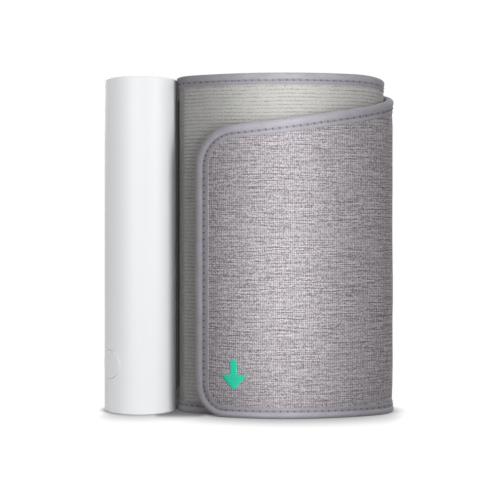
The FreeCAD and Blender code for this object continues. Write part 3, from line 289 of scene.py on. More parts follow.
def mesh_piece(name, points, faces, materials, cloth=None, face_materials=None, values=None):
    """New object from points and faces, with its place on the flat cloth and extra values at its points"""
    mesh = bpy.data.meshes.new(name)
    mesh.from_pydata(np.reshape(points, (-1, 3)).tolist(), [], [list(map(int, face)) for face in faces])
    for material in materials:
        mesh.materials.append(material)
    if face_materials is not None:
        mesh.polygons.foreach_set("material_index", np.asarray(face_materials, np.int32))
    if cloth is not None:
        layer = mesh.uv_layers.new(name="cloth")
        corners = np.empty(len(mesh.loops), np.int32)
        mesh.loops.foreach_get("vertex_index", corners)
        layer.data.foreach_set("uv", np.reshape(cloth, (-1, 2))[corners].astype(np.float32).ravel())
    for label, numbers in (values or {}).items():
        layer = mesh.attributes.new(label, "FLOAT", "POINT")
        layer.data.foreach_set("value", np.ravel(numbers).astype(np.float32))
    mesh.polygons.foreach_set("use_smooth", np.ones(len(mesh.polygons), bool))
    mesh.validate()
    mesh.update()
    piece = bpy.data.objects.new(name, mesh)
    bpy.context.scene.collection.objects.link(piece)
    return piece


def grid_faces(rows, columns, first=0, ring=False):
    """Faces of a grid of points that are stored row by row; a ring joins the last column to the first"""
    row, column = np.meshgrid(np.arange(rows - 1), np.arange(columns if ring else columns - 1), indexing="ij")
    after = (column + 1) % columns
    below, above = row * columns, (row + 1) * columns
    return np.stack((below + column, above + column, above + after, below + after), -1).reshape(-1, 4) + first


def closed_faces(rows, ring, flip=False):
    """Faces of a closed form: rings of points that are stored one after another, and a face over each end"""
    last = (rows - 1) * ring
    faces = [list(face) for face in grid_faces(rows, ring, ring=True)]
    faces += [list(range(ring)), list(range(last + ring - 1, last - 1, -1))]
    return [face[::-1] for face in faces] if flip else faces


def copies(forms, size, first=0):
    """Faces of small forms whose points are stored one form after another, so many points to a form"""
    return [
        [first + number * size + corner for corner in face]
        for number, form in enumerate(forms) for face in form]


# Materials

class Wire:
    """One output of a material's nodes, which sums can use as a number"""

    def __init__(self, finish, socket):
        self.finish = finish
        self.socket = socket

    def sum(self, operation, first, second=0.0):
        return self.finish.add("Math", {"operation": operation}, "Value", Value=first, Value_001=second)

    def __add__(self, other):
        return self.sum("ADD", self, other)

    def __sub__(self, other):
        return self.sum("SUBTRACT", self, other)

    def __rsub__(self, other):
        return self.sum("SUBTRACT", other, self)

    def __mul__(self, other):
        return self.sum("MULTIPLY", self, other)

    def __truediv__(self, other):
        return self.sum("DIVIDE", self, other)

    def __rtruediv__(self, other):
        return self.sum("DIVIDE", other, self)

    def __pow__(self, other):
        return self.sum("POWER", self, other)

    __radd__ = __add__
    __rmul__ = __mul__

    def floor(self):
        return self.sum("FLOOR", self)

    def part(self):
        """What is left after the whole number"""
        return self.sum("FRACT", self)

    def cosine(self):
        return self.sum("COSINE", self)

    def wave(self):
        """1 at each whole number and -1 halfway between"""
        return (math.tau * self).cosine()

    def larger(self, other):
        return self.sum("MAXIMUM", self, other)

    def between(self, low, high):
        """0 at low, 1 at high, and level outside them"""
        return self.finish.add(
            "MapRange", {"interpolation_type": "SMOOTHSTEP"}, "Result", Value=self, From_Min=low,
            From_Max=high)


class Finish:
    """A material with one main shader; numbers that are the same all over are set on that shader"""

    def __init__(self, name, **settings):
        self.material = bpy.data.materials.new(name)
        self.material.use_nodes = True
        self.tree = self.material.node_tree
        self.shader = self.tree.nodes["Principled BSDF"]
        self.set(self.shader, settings)

    def socket(self, sockets, name):
        for item in sockets:
            if name in (item.identifier, item.identifier.replace(" ", "_"), item.name.replace(" ", "_")):
                return item
        raise KeyError(f"{self.material.name} has no socket {name}")

    def set(self, node, values):
        for name, value in values.items():
            socket = self.socket(node.inputs, name)
            if isinstance(value, Wire):
                self.tree.links.new(value.socket, socket)
            else:
                socket.default_value = value

    def add(self, kind, settings, out, **values):
        """New node with its settings and its inputs, as the wire from one of its outputs"""
        node = self.tree.nodes.new("ShaderNode" + kind)
        for name, value in settings.items():
            setattr(node, name, value)
        self.set(node, values)
        return Wire(self, self.socket(node.outputs, out))

    def paint(self, **values):
        self.set(self.shader, values)
        return self.material

    def cloth(self):
        """Place on the flat cloth in metres, along and across"""
        flat = self.add("UVMap", {"uv_map": "cloth"}, "UV")
        return self.axis(flat, "X"), self.axis(flat, "Y")

    def body(self):
        """Place in the object's frame in metres"""
        return self.add("TexCoord", {}, "Object")

    def value(self, label):
        """Number that is stored at the mesh's points"""
        return self.add("Attribute", {"attribute_name": label}, "Fac")

    def seen(self):
        """1 where the camera looks, also by way of a gloss"""
        return self.add("LightPath", {}, "Is Camera Ray") + self.add("LightPath", {}, "Is Glossy Ray")

    def axis(self, vector, name):
        return self.add("SeparateXYZ", {}, name, Vector=vector)

    def vector(self, x, y, z=0.0):
        return self.add("CombineXYZ", {}, "Vector", X=x, Y=y, Z=z)

    def stretch(self, vector, factors):
        return self.add("VectorMath", {"operation": "MULTIPLY"}, "Vector", Vector=vector, Vector_001=factors)

    def cloud(self, vector, scale=1.0, detail=2.0, roughness=0.5):
        """Noise from 0 to 1, mostly near a half"""
        return self.add("TexNoise", {}, "Fac", Vector=vector, Scale=scale, Detail=detail, Roughness=roughness)

    def grain(self, along, across, detail=2.0, roughness=0.5):
        """The same noise over two numbers"""
        return self.cloud(self.vector(along, across), detail=detail, roughness=roughness)

    def mix(self, share, first, second):
        """From the first colour at 0 to the second at 1"""
        return self.add(
            "Mix", {"data_type": "RGBA"}, "Result_Color", Factor_Float=share, A_Color=first, B_Color=second)

    def tint(self, share, base, dark, light):
        """From a colour made darker at 0 to the same made lighter at 1"""
        return self.mix(share, shade(base, dark), shade(base, light))

    def bump(self, height, distance, strength=1.0):
        return self.add("Bump", {}, "Normal", Height=height, Distance=distance, Strength=strength)


def shade(base, factor=1.0):
    """Colour for a socket, lighter or darker"""
    return (*(min(1.0, channel * factor) for channel in base), 1.0)


def fabric(name, **settings):
    """Finish of a cloth, and the place along and across the flat cloth"""
    finish = Finish(name, **settings)
    return finish, *finish.cloth()


def weave(finish, along, across):
    """Height of a plain weave, share of upright thread on top, and tones of upright and level threads"""
    x, y = along / THREAD_PITCH, across / PICK_PITCH

    def crown(count, other, shift):
        bulge = 1 - (2 * count.part() - 1) ** 2
        over = 0.5 + 0.5 * (math.pi * (other + count.floor() + shift)).cosine()
        return bulge * (0.25 + 0.75 * over)
    upright = crown(x, y, 0.5)
    level = crown(y, x, 1.5)
    on_top = (upright - level).between(0.1, 0.4) * 0.4
    upright_tone = finish.grain(x.floor() * 7.31, y * 0.9, detail=1.0)
    row = y.floor()
    fleck = finish.add(
        "TexWhiteNoise", {"noise_dimensions": "2D"}, "Value", Vector=finish.vector((x * 2).floor(), row))
    streak, beside = (finish.cloud(finish.vector(x * 0.085, place * 5.17, 9.0)) for place in (row, row + 1))
    level_tone = 0.5 + (streak - 0.5) * 0.92 - (beside - 0.5) * 0.5 + (fleck - 0.5) * 0.33
    return upright.larger(level), on_top, upright_tone, level_tone


def mottled_cloth(colours):
    """Outer cloth: a plain weave of light and dark threads in short streaks"""
    finish, along, across = fabric(
        "mottled_cloth", Roughness=0.92, Specular_IOR_Level=0.12, Sheen_Weight=0.08, Sheen_Roughness=0.4)
    height, on_top, upright, level = weave(finish, along, across)
    tone = ((upright * 0.45 + 0.3) * on_top + level * (1 - on_top)).between(0.21, 0.79)
    column = 1 - ((along / THREAD_PITCH).part() * 2 - 1) ** 2
    # Painted shade: the cloth darkens in the hollows between the threads
    hollow_shade = height.between(0.05, 0.7) * 0.2 + column.between(0.1, 0.8) * 0.32 + 0.48
    threads = finish.mix(tone, shade(colours.thread_dark), shade(colours.thread_light))
    cloth = finish.mix(hollow_shade, shade(colours.thread_dark, 0.4), threads)
    fuzz = finish.grain(along * 9000, across * 9000)
    return finish.paint(Base_Color=cloth, Normal=finish.bump(height + fuzz * 0.25, 0.00026))


def loop_pile(colours):
    """Ribbed loop face; the ribs are in the mesh, and the pile's fibres here"""
    finish, along, across = fabric(
        "loop_pile", Roughness=0.95, Specular_IOR_Level=0.1, Sheen_Weight=0.15, Sheen_Roughness=0.5)
    fibre = finish.grain(along * 1100, across * 2300, detail=4.0, roughness=0.65)
    patch = finish.grain(along * 260, across * 420, detail=3.0)
    tuft = finish.grain(along * 1500, across * 1500)
    open_rib = (finish.value("rib") + (patch - 0.5) * 0.9 + (fibre - 0.5) * 1.2).between(-0.1, 0.8)
    pile = finish.tint(fibre.between(0.3, 0.7), colours.loop, 0.82, 1.12)
    cloth = finish.mix(open_rib, shade(colours.loop_groove), pile)
    # Painted shade: the loop pile is darkened over the plain margin beside the tube, where the tube's shade
    # falls
    cloth = finish.mix(finish.value("margin") * 0.3, cloth, shade(colours.loop_groove, 0.4))
    return finish.paint(Base_Color=cloth, Normal=finish.bump(fibre + tuft * 0.6, 0.0002))


def knit_lining(colours):
    """Smooth warp knit on the strip's inner face"""
    finish, along, across = fabric(
        "knit_lining", Roughness=0.85, Specular_IOR_Level=0.2, Sheen_Weight=0.2, Sheen_Roughness=0.4)
    column = (along / 0.0006).wave()
    course = (across / 0.0005 + column * 0.22).wave()
    patch = finish.grain(along * 120, across * 120, detail=4.0)
    height = column * 0.3 + course * 0.3 + 0.5
    tone = (height * 0.7 + (patch - 0.5) * 0.8).between(0.0, 0.9)
    cloth = finish.tint(tone, colours.lining, 0.72, 1.12)
    return finish.paint(Base_Color=cloth, Normal=finish.bump(height, 0.00009))


def edge_tape_cloth(colours, sizes):
    """Soft edge tape with a fine slanting weave, dark in the needle holes between its stitches"""
    finish, along, across = fabric(
        "edge_tape_cloth", Roughness=0.8, Specular_IOR_Level=0.2, Sheen_Weight=0.15, Sheen_Roughness=0.4)
    slant = (along / 0.00042 + across / 0.00066).wave()
    cross = (along / 0.0005 - across / 0.00042).wave()
    patch = finish.grain(along * 150, across * 240, detail=4.0)
    height = slant * 0.3 + cross * 0.2 + 0.5
    tone = (height * 0.45 + patch * 0.55).between(0.2, 0.85)
    face = finish.tint(tone, colours.tape, 0.8, 1.1)
    crease = finish.value("crease")
    hole = (((along / sizes.stitch_pitch).part() * 2 - 1) ** 2).between(0.35, 0.8) * crease.between(0.3, 0.8)
    # Painted shade: darker in the crease along the stitch line and over the flat hem inside it; the needle
    # holes are dark dots on the stitch line
    dark = crease * 0.14 + finish.value("hem_shade") * 0.17 + hole * 0.75
    cloth = finish.mix(dark, face, shade(colours.tape, 0.25))
    return finish.paint(Base_Color=cloth, Normal=finish.bump(height + patch * 0.5, 0.00006))


def stitch_thread(colours):
    """Twisted sewing thread"""
    finish, along, across = fabric("stitch_thread", Roughness=0.7, Specular_IOR_Level=0.3, Sheen_Weight=0.2)
    twist = (along / 0.00035 + across / 0.0004).wave() * 0.5 + 0.5
    thread = finish.tint(twist, colours.stitch, 0.6, 1.25)
    return finish.paint(Base_Color=thread, Normal=finish.bump(twist, 0.00006))


def hook_cloth(colours):
    """Stiff base and hooks of the fastening patch"""
    finish, along, across = fabric("hook_cloth", Roughness=0.55, Specular_IOR_Level=0.35)
    weft = (across / 0.0006).wave() * 0.5 + 0.5
    speck = finish.grain(along * 2500, across * 2500, detail=3.0)
    base = finish.tint((weft * 0.6 + speck * 0.4).between(0.1, 0.9), colours.hook, 0.7, 1.1)
    return finish.paint(Base_Color=base, Normal=finish.bump(weft + speck * 0.5, 0.00008))


def printed_mark(colours):
    """Rubbery print that takes the cloth's weave"""
    finish, along, across = fabric("printed_mark", Roughness=0.5, Specular_IOR_Level=0.35)
    height, _, upright, level = weave(finish, along, across)
    worn = (upright * 0.5 + level * 0.5).between(0.3, 0.6)
    ink = finish.tint(worn * 0.6 + height * 0.4, colours.mark, 0.86, 1.06)
    return finish.paint(Base_Color=ink, Normal=finish.bump(height, 0.00005))


def moulded(name, base, roughness, grain=0.0004, depth=0.000004, spread=0.025, **settings):
    """Moulded plastic or rubber with a fine texture"""
    finish = Finish(name, **settings)
    place = finish.body()
    fine = finish.cloud(place, scale=1 / grain, detail=3.0)
    broad = finish.cloud(place, scale=45.0, detail=4.0)
    tone = fine * 0.4 + broad * 0.6
    tint = finish.tint(tone, base, 1 - spread, 1 + spread)
    return finish.paint(
        Base_Color=tint, Roughness=roughness + (tone - 0.5) * 0.12, Normal=finish.bump(fine, depth, 0.6))


def metal(name, base, roughness, drawn=(300.0, 300.0, 9000.0), spread=0.12):
    """Metal with fine marks drawn along one way"""
    finish = Finish(name, Metallic=1.0)
    marks = finish.cloud(finish.stretch(finish.body(), drawn), detail=3.0)
    tint = finish.tint(marks, base, 1 - spread, 1 + spread)
    return finish.paint(
        Base_Color=tint, Roughness=roughness + (marks - 0.5) * 0.25,
        Normal=finish.bump(marks, 0.000004, 0.5))


def circuit_board():
    """Green solder mask over copper tracks"""
    finish = Finish("circuit_board", Roughness=0.35, Coat_Weight=0.3)
    place = finish.body()
    cells = finish.add("TexVoronoi", {"distance": "CHEBYCHEV"}, "Distance", Vector=place, Scale=420.0)
    track = cells.between(0.3, 0.34) * (1 - cells.between(0.42, 0.46))
    speck = finish.cloud(place, scale=3000.0)
    mask = finish.mix(speck, (0.006, 0.075, 0.03, 1.0), (0.01, 0.1, 0.042, 1.0))
    board = finish.mix(track, mask, (0.03, 0.2, 0.08, 1.0))
    return finish.paint(Base_Color=board, Normal=finish.bump(track + speck * 0.1, 0.00003))


def coil_winding():
    """Turns of enamelled copper wire"""
    finish = Finish("coil_winding", Metallic=1.0, Coat_Weight=0.5)
    height = finish.axis(finish.body(), "Z")
    turns = (height / 0.0003).wave() * 0.5 + 0.5
    copper = finish.mix(turns, (0.25, 0.08, 0.03, 1.0), (0.75, 0.3, 0.13, 1.0))
    return finish.paint(Base_Color=copper, Roughness=0.45 - turns * 0.2, Normal=finish.bump(turns, 0.0001))


def cell_wrap():
    """Shrunk film round the battery cell, with one plain band"""
    finish = Finish("cell_wrap", Coat_Weight=0.4)
    place = finish.body()
    height = finish.axis(place, "Z")
    band = height.between(0.036, 0.0362) * (1 - height.between(0.04, 0.0402))
    crease = finish.cloud(place, scale=260.0, detail=4.0)
    film = finish.mix(crease, (0.02, 0.09, 0.2, 1.0), (0.03, 0.13, 0.27, 1.0))
    wrap = finish.mix(band, film, (0.6, 0.62, 0.64, 1.0))
    return finish.paint(
        Base_Color=wrap, Roughness=0.3 + crease * 0.15, Normal=finish.bump(crease, 0.00005, 0.4))


# Shapes of the cuff

def shoulder(roll, sizes):
    """Tilt of the flap's top edge at its upper corner, and the height of that corner's middle"""
    corner = sizes.flap_shoulder
    slope = float(roll.top(corner + MM) - roll.top(corner - MM)) / (2 * MM)
    return math.atan(slope), float(roll.top(corner)) - corner * math.hypot(1, slope)


def flap_span(roll, sizes, along, inset):
    """Lowest and highest place of the flap and the outer turn, drawn in from their edges"""
    def bulge(corner):
        across = np.clip(corner - np.asarray(along), 0, corner - inset)
        return np.sqrt((corner - inset) ** 2 - across ** 2)
    lower, upper = sizes.flap_corner, sizes.flap_shoulder
    middle = shoulder(roll, sizes)[1]
    low = np.where(along < lower, lower - bulge(lower), inset)
    high = np.minimum(roll.top(along) - inset, np.where(along < upper, middle + bulge(upper), roll.height))
    return low, high


def arc_points(x, y, radius, start, end, count):
    """Places on an arc about a middle"""
    angle = np.linspace(start, end, count)
    return np.column_stack((x + radius * np.cos(angle), y + radius * np.sin(angle)))


def flap_path(roll, sizes):
    """Edge of flap and outer turn: from the tube along the top, round the flap and back along the floor"""
    lower, upper = sizes.flap_corner, sizes.flap_shoulder
    tilt, middle = shoulder(roll, sizes)
    top = np.linspace(roll.tube_side, upper * (1 - math.sin(tilt)), 400)[:-1]
    floor = np.linspace(lower, roll.tube_side, 400)[1:]
    return np.concatenate((
        np.column_stack((top, roll.top(top))),
        arc_points(upper, middle, upper, math.pi / 2 + tilt, math.pi, 40),
        arc_points(lower, lower, lower, math.pi, math.pi * 1.5, 40),
        np.column_stack((floor, np.zeros_like(floor)))))


def inner_path(roll):
    """Edge of the inner turns: from the tube along the floor, up the inner end and back along the top"""
    corner = 4 * MM
    bend = roll.end - corner
    run = np.linspace(roll.tube_side, bend, 400)[:-1]
    return np.concatenate((
        np.column_stack((run, np.zeros_like(run))),
        arc_points(bend, corner, corner, math.pi * 1.5, math.tau, 16),
        arc_points(bend, roll.height - corner, corner, 0, math.pi / 2, 16),
        np.column_stack((run[::-1], np.full_like(run, roll.height)))))


def running_length(points):
    """Distance along a row of points, from the first"""
    return np.concatenate(([0], np.cumsum(np.linalg.norm(np.diff(points, axis=0), axis=1))))


class EdgeLine:
    """Edge of the strip, with the tape's share of its full width along the top, the end and the floor"""

    def __init__(self, path, widths):
        step = 0.5 * MM
        self.path = path
        self.widths = np.array(widths)
        self.lengths = running_length(path)
        self.length = float(self.lengths[-1])
        self.at = np.linspace(0, self.length, int(self.length / step) + 1)

    def edge(self, at):
        return np.stack([np.interp(at, self.lengths, values) for values in self.path.T], -1)

    def inward(self, at):
        reach = 0.4 * MM
        ahead = self.edge(np.minimum(at + reach, self.length)) - self.edge(np.maximum(at - reach, 0))
        ahead /= np.linalg.norm(ahead, axis=-1, keepdims=True)
        return np.stack((-ahead[..., 1], ahead[..., 0]), -1)

    def inside(self, at, inset):
        """Place along and up the flat strip, at a distance along the edge and in from it"""
        inward = self.inward(at)
        level, upright = inward[..., 0], inward[..., 1]
        share = np.stack((np.maximum(-upright, 0), level, np.maximum(upright, 0)), -1) ** 2
        place = self.edge(at) + inward * (inset * (share @ self.widths))[..., None]
        return place[..., 0], place[..., 1]


def joint_fill(roll, along, up):
    """Cloth that closes the joint beside the tube, over and under the rail"""
    depth, rail_end = 0.71 * MM, 11.5 * MM
    beside = 1 - smooth(np.abs(along - roll.tube_side), 1 * MM, 4 * MM)
    past_rail = 1 - smooth(np.minimum(up, roll.height - up), rail_end - 0.75 * MM, rail_end)
    return depth * beside * past_rail


def cloth_rise(roll, sizes, along, up):
    """Rise of the outer cloth: drawn down by the tape's seam, swollen by the padding and slightly uneven"""
    low, high = flap_span(roll, sizes, along, 0)
    edge = np.minimum(np.minimum(up - low, high - up), along)
    free = smooth(edge, 4.6 * MM, 14 * MM) * smooth(roll.tube_side - along, 2 * MM, 14 * MM)
    swell = (0.34 + 0.16 * waver(0.017, along, up) + 0.05 * waver(0.006, along, up)) * MM
    return swell * free - SEAM_DRAW + joint_fill(roll, along, up)


def strip_mesh(name, roll, along, outer_rows, inner_rows, span, rise, materials, values=None):
    """Closed padded strip: its outer face goes up and its inner face down, column by column"""
    low, high = (edge[:, None] for edge in span(along))
    outer = low + (high - low) * outer_rows
    inner = low + (high - low) * inner_rows[::-1]
    columns = np.broadcast_to(along[:, None], outer.shape)
    back = np.broadcast_to(along[:, None], inner.shape)
    under = -roll.thickness + waver(0.02, back, inner) * 0.06 * MM
    points = np.concatenate((
        roll.place(columns, outer, rise(columns, outer)), roll.place(back, inner, under)), 1)
    flat = np.concatenate((np.stack((columns, outer), -1), np.stack((back, inner), -1)), 1)
    ring = points.shape[1]
    kinds = np.tile(np.where(np.arange(ring) < outer.shape[1] - 1, 0, 1), len(along) - 1)
    extra = {
        label: np.concatenate((made(columns, outer), np.zeros_like(inner)), 1)
        for label, made in (values or {}).items()}
    return mesh_piece(
        name, points, closed_faces(len(along), ring), materials, flat, np.concatenate((kinds, (1, 1))), extra)


def tape_mesh(name, roll, line, puff, sizes, material):
    """Edge tape folded over the strip's edge, puckered at the stitches; open inside, where the strip lies"""
    section = np.array(TAPE_SECTION) * MM
    section[:, 0] *= sizes.tape_width / section[0, 0]
    pressed = np.where(section[:, 1] > 0, 0.34, 1)
    back = np.column_stack((section[:, 0], -roll.thickness - section[:, 1] * pressed))
    profile = np.concatenate((back, [(0, -roll.thickness / 2)], section[::-1]))
    inset, out = profile.T
    at = line.at[:, None]
    along, up = line.inside(at, inset)
    pucker = 1 + 0.1 * np.cos(math.tau * at / sizes.stitch_pitch) + 0.16 * waver(0.011, at, at * 0)
    rise = np.where(out > 0, out * puff(along) * pucker, out)
    fill_share = np.where(out > -MM, 0.42, 0)
    points = roll.place(along, up, rise + fill_share * joint_fill(roll, along, up))
    girth = running_length(profile)
    flat = np.stack(np.broadcast_arrays(at, girth), -1)
    # Values for painted shade: the crease along the stitch line, and the hem inside it
    past_seam = inset - sizes.stitch_inset
    crease = np.exp(-(past_seam / (0.55 * MM)) ** 2)
    hem_shade = 0.5 * smooth(past_seam, 0, 0.5 * MM) + 0.5 * smooth(past_seam, 1.1 * MM, 1.6 * MM)
    values = {"crease": np.broadcast_to(crease, along.shape), "hem_shade": np.broadcast_to(hem_shade, along.shape)}
    piece = mesh_piece(name, points, grid_faces(*points.shape[:2]), [material], flat, values=values)
    area = sum(polygon.area for polygon in piece.data.polygons)
    width = max(girth[-1], area / line.length)
    return piece


def stitch_mesh(name, roll, line, puff, sizes, material):
    """Row of stitches on both faces of the edge tape"""
    count = int(line.length / sizes.stitch_pitch)
    middles = (np.arange(count) + 0.5) * sizes.stitch_pitch
    rings, sides, lean = 7, 8, 0.42
    thread, pressed = 0.16 * MM, 0.8
    stations = np.linspace(-0.5, 0.5, rings)[:, None] * sizes.stitch_length
    thick = np.array((0.4, 0.85, 1, 1, 1, 0.85, 0.4))[:, None] * thread
    lift = np.array((-0.12, 0.06, 0.15, 0.18, 0.15, 0.06, -0.12))[:, None] * MM
    turn = np.arange(sides) * math.tau / sides
    at = middles[:, None, None] + stations
    along, up = line.inside(at, sizes.stitch_inset + lean * stations + thick * np.cos(turn))
    over = lift + thick * np.sin(turn)
    outer = roll.place(along, up, over + 0.08 * MM * puff(along))
    inner = roll.place(along, up, -roll.thickness - over * pressed)
    forms = [closed_faces(rings, sides, flip=True)] * count + [closed_faces(rings, sides)] * count
    flat = np.stack(np.broadcast_arrays(at, turn * 0.2 * MM), -1)
    return mesh_piece(
        name, np.concatenate((outer, inner)), copies(forms, rings * sides), [material],
        np.concatenate((flat, flat)))


# Operators, one for each piece or group of like pieces

def kept(make, *values):
    """The material that a function makes, made once"""
    return bpy.data.materials.get(make.__name__) or make(*values)


def tape_puff(roll, most):
    """Share of the tape's full swell along the strip: little beside the tube"""
    least = 0.5

    def puff(along):
        return most - (most - least) * (1 - smooth(np.abs(along - roll.tube_side), 5 * MM, 18 * MM))
    return puff


def flap_columns(sizes, inset, corner_count, end, count):
    """Places along the strip from the flap's tip, closer together round its corner"""
    corner = sizes.flap_corner
    tip = inset + (corner - inset) * (1 - np.cos(np.linspace(0, math.pi / 2, corner_count)))
    return np.concatenate((tip[:-1], np.linspace(corner, end, count)))


class MONITOR_OT_outer_strip(bpy.types.Operator):
    """Padded strip of the flap and the outer turn, in mottled cloth with a knit lining"""
    bl_idname = "monitor.outer_strip"
    bl_label = "Outer Strip"

    def execute(self, context):
        sizes, colours = context.scene.monitor_cuff, context.scene.monitor_cloth
        roll = Roll(sizes)
        rows = np.linspace(0, 1, 72)
        piece = strip_mesh(
            "outer_strip", roll, flap_columns(sizes, STRIP_INSET, 13, roll.tube_side, 120), rows, rows[::3],
            lambda at: flap_span(roll, sizes, at, STRIP_INSET),
            lambda at, up: cloth_rise(roll, sizes, at, up),
            [kept(mottled_cloth, colours), kept(knit_lining, colours)])
        roll.blend(piece)
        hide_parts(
            "outer_skin", "outer_padding", "cuff_bladder", "outer_lining", "flap_skin", "flap_padding",
            "flap_lining")
        return {"FINISHED"}


class MONITOR_OT_inner_strip(bpy.types.Operator):
    """Padded strip of the inner turns, with the ribbed loop face outwards"""
    bl_idname = "monitor.inner_strip"
    bl_label = "Inner Strip"

    def execute(self, context):
        sizes, colours = context.scene.monitor_cuff, context.scene.monitor_cloth
        roll = Roll(sizes)
        ribs_end = roll.along(RIBS_END)
        bottom, top = STRIP_INSET, sizes.height - STRIP_INSET
        along = np.concatenate((
            np.linspace(roll.tube_side, ribs_end, 100),
            np.linspace(ribs_end, roll.end - STRIP_INSET, 45)[1:]))
        points_per_rib = 6
        rows = np.linspace(0, 1, int((top - bottom) / sizes.rib_pitch * points_per_rib))

        def crest(at, up):
            phase = up / sizes.rib_pitch + 0.16 * waver(0.016, at, up) + 0.1 * waver(0.004, at, up)
            return np.abs(np.sin(math.pi * phase)) ** 0.6

        # The plain margin has no ribs, and the loop pile's colour is darkened over it as painted shade of the
        # tube
        def margin(at, up):
            return 1 - smooth(at - roll.tube_side, sizes.rib_start - 0.3 * MM, sizes.rib_start + 0.5 * MM)

        def amount(at, up):
            deep = 1 - smooth(at, ribs_end, ribs_end + 15 * MM)
            edge = smooth(np.minimum(up, sizes.height - up), 5 * MM, 6.4 * MM)
            return (1 - margin(at, up)) * deep * edge

        def rise(at, up):
            uneven = 0.85 + 0.4 * waver(0.003, at, up * 0.4)
            ribs = amount(at, up) * sizes.rib_rise * crest(at, up) * uneven
            seam = 0.16 * MM * np.exp(-((at - roll.tube_side - sizes.rib_start) / (0.35 * MM)) ** 2)
            return ribs - SEAM_DRAW - seam + joint_fill(roll, at, up)

        def rib(at, up):
            share = amount(at, up)
            return crest(at, up) * share + 0.62 * (1 - share)

        piece = strip_mesh(
            "inner_strip", roll, along, rows, np.linspace(0, 1, 24),
            lambda at: (np.full_like(at, bottom), np.full_like(at, top)), rise,
            [kept(loop_pile, colours), kept(knit_lining, colours)], {"rib": rib, "margin": margin})
        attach(piece, "root")
        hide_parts("loop_skin", "inner_padding", "inner_lining")
        return {"FINISHED"}


class MONITOR_OT_edge_tapes(bpy.types.Operator):
    """Edge tapes of the strip, folded over its edges, and the stitches through them"""
    bl_idname = "monitor.edge_tapes"
    bl_label = "Edge Tapes"

    def execute(self, context):
        sizes, colours = context.scene.monitor_cuff, context.scene.monitor_cloth
        roll = Roll(sizes)
        cloth = kept(edge_tape_cloth, colours, sizes)
        thread = kept(stitch_thread, colours)
        outer_line = EdgeLine(flap_path(roll, sizes), (1.0, 1.12, 0.78))
        inner_line = EdgeLine(inner_path(roll), (0.84, 0.84, 0.84))
        outer_puff = tape_puff(roll, 1.0)
        inner_puff = tape_puff(roll, 0.6)
        outer = tape_mesh("outer_tape", roll, outer_line, outer_puff, sizes, cloth)
        inner = tape_mesh("inner_tape", roll, inner_line, inner_puff, sizes, cloth)
        outer_stitches = stitch_mesh("outer_stitches", roll, outer_line, outer_puff, sizes, thread)
        inner_stitches = stitch_mesh("inner_stitches", roll, inner_line, inner_puff, sizes, thread)
        for piece in (outer, outer_stitches):
            roll.blend(piece)
        for piece in (inner, inner_stitches):
            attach(piece, "root")
        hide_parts("outer_top_binding", "outer_bottom_binding", "flap_binding")
        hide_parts("inner_top_binding", "inner_bottom_binding", "inner_end_binding")
        return {"FINISHED"}


class MONITOR_OT_hook_patch(bpy.types.Operator):
    """Hook patch behind the flap"""
    bl_idname = "monitor.hook_patch"
    bl_label = "Hook Patch"
    inset = 9.6 * MM
    length = 35 * MM

    def execute(self, context):
        sizes, colours = context.scene.monitor_cuff, context.scene.monitor_cloth
        roll = Roll(sizes)
        along = flap_columns(sizes, self.inset, 7, self.inset + self.length, 20)[:, None]
        low, high = flap_span(roll, sizes, along, self.inset)
        up = low + (high - low) * np.linspace(0, 1, 40)
        along = np.broadcast_to(along, up.shape)
        face = roll.place(along, up, -roll.thickness - 0.22 * MM)
        root = roll.place(along, up, -roll.thickness + 0.1 * MM)
        base = np.concatenate((root, face[:, ::-1]), 1)
        flat = np.stack((along, up), -1)
        flat = np.concatenate((flat, flat[:, ::-1]), 1).reshape(-1, 2)
        hooks, hook_faces = self.hooks(roll, sizes, len(flat))
        piece = mesh_piece(
            "hook_patch", np.concatenate((base.reshape(-1, 3), hooks)),
            closed_faces(*base.shape[:2]) + hook_faces, [kept(hook_cloth, colours)],
            np.concatenate((flat, hooks[:, [0, 2]])))
        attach(piece, "flap")
        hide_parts("hook_patch")
        return {"FINISHED"}

    def hooks(self, roll, sizes, first):
        """Points and faces of short bent hooks in rows over the patch"""
        pitch, edge = 1.15 * MM, 1 * MM
        along, up = np.meshgrid(
            np.arange(self.inset + 1.2 * MM, self.inset + self.length - 0.6 * MM, pitch),
            np.arange(self.inset, sizes.height, pitch * 0.9), indexing="ij")
        up = up + (np.arange(len(along)) % 2)[:, None] * pitch * 0.45
        low, high = flap_span(roll, sizes, along, self.inset + edge)
        chosen = (up > low) & (up < high)
        along, up = along[chosen][:, None, None], up[chosen][:, None, None]
        ahead, out = np.array(((0, 0.02, 0.12, 0.2), (-0.2, -0.36, -0.43, -0.38)))[..., None] * MM
        upright, level = np.array(((0.6, 0.6, 0.3, 0.6), (0, 0.4, 0.9, 0.6)))[..., None]
        rings, sides, wide = 4, 3, 0.075 * MM
        turn = np.arange(sides) * math.tau / sides
        points = roll.place(
            along + wide * np.cos(turn), up + ahead + wide * np.sin(turn) * upright,
            -roll.thickness + out + wide * np.sin(turn) * level)
        hook = rings * sides
        tube = grid_faces(rings, sides, ring=True)[:, ::-1].tolist() + [list(range(hook - sides, hook))]
        return points.reshape(-1, 3), copies([tube] * len(points), hook, first)


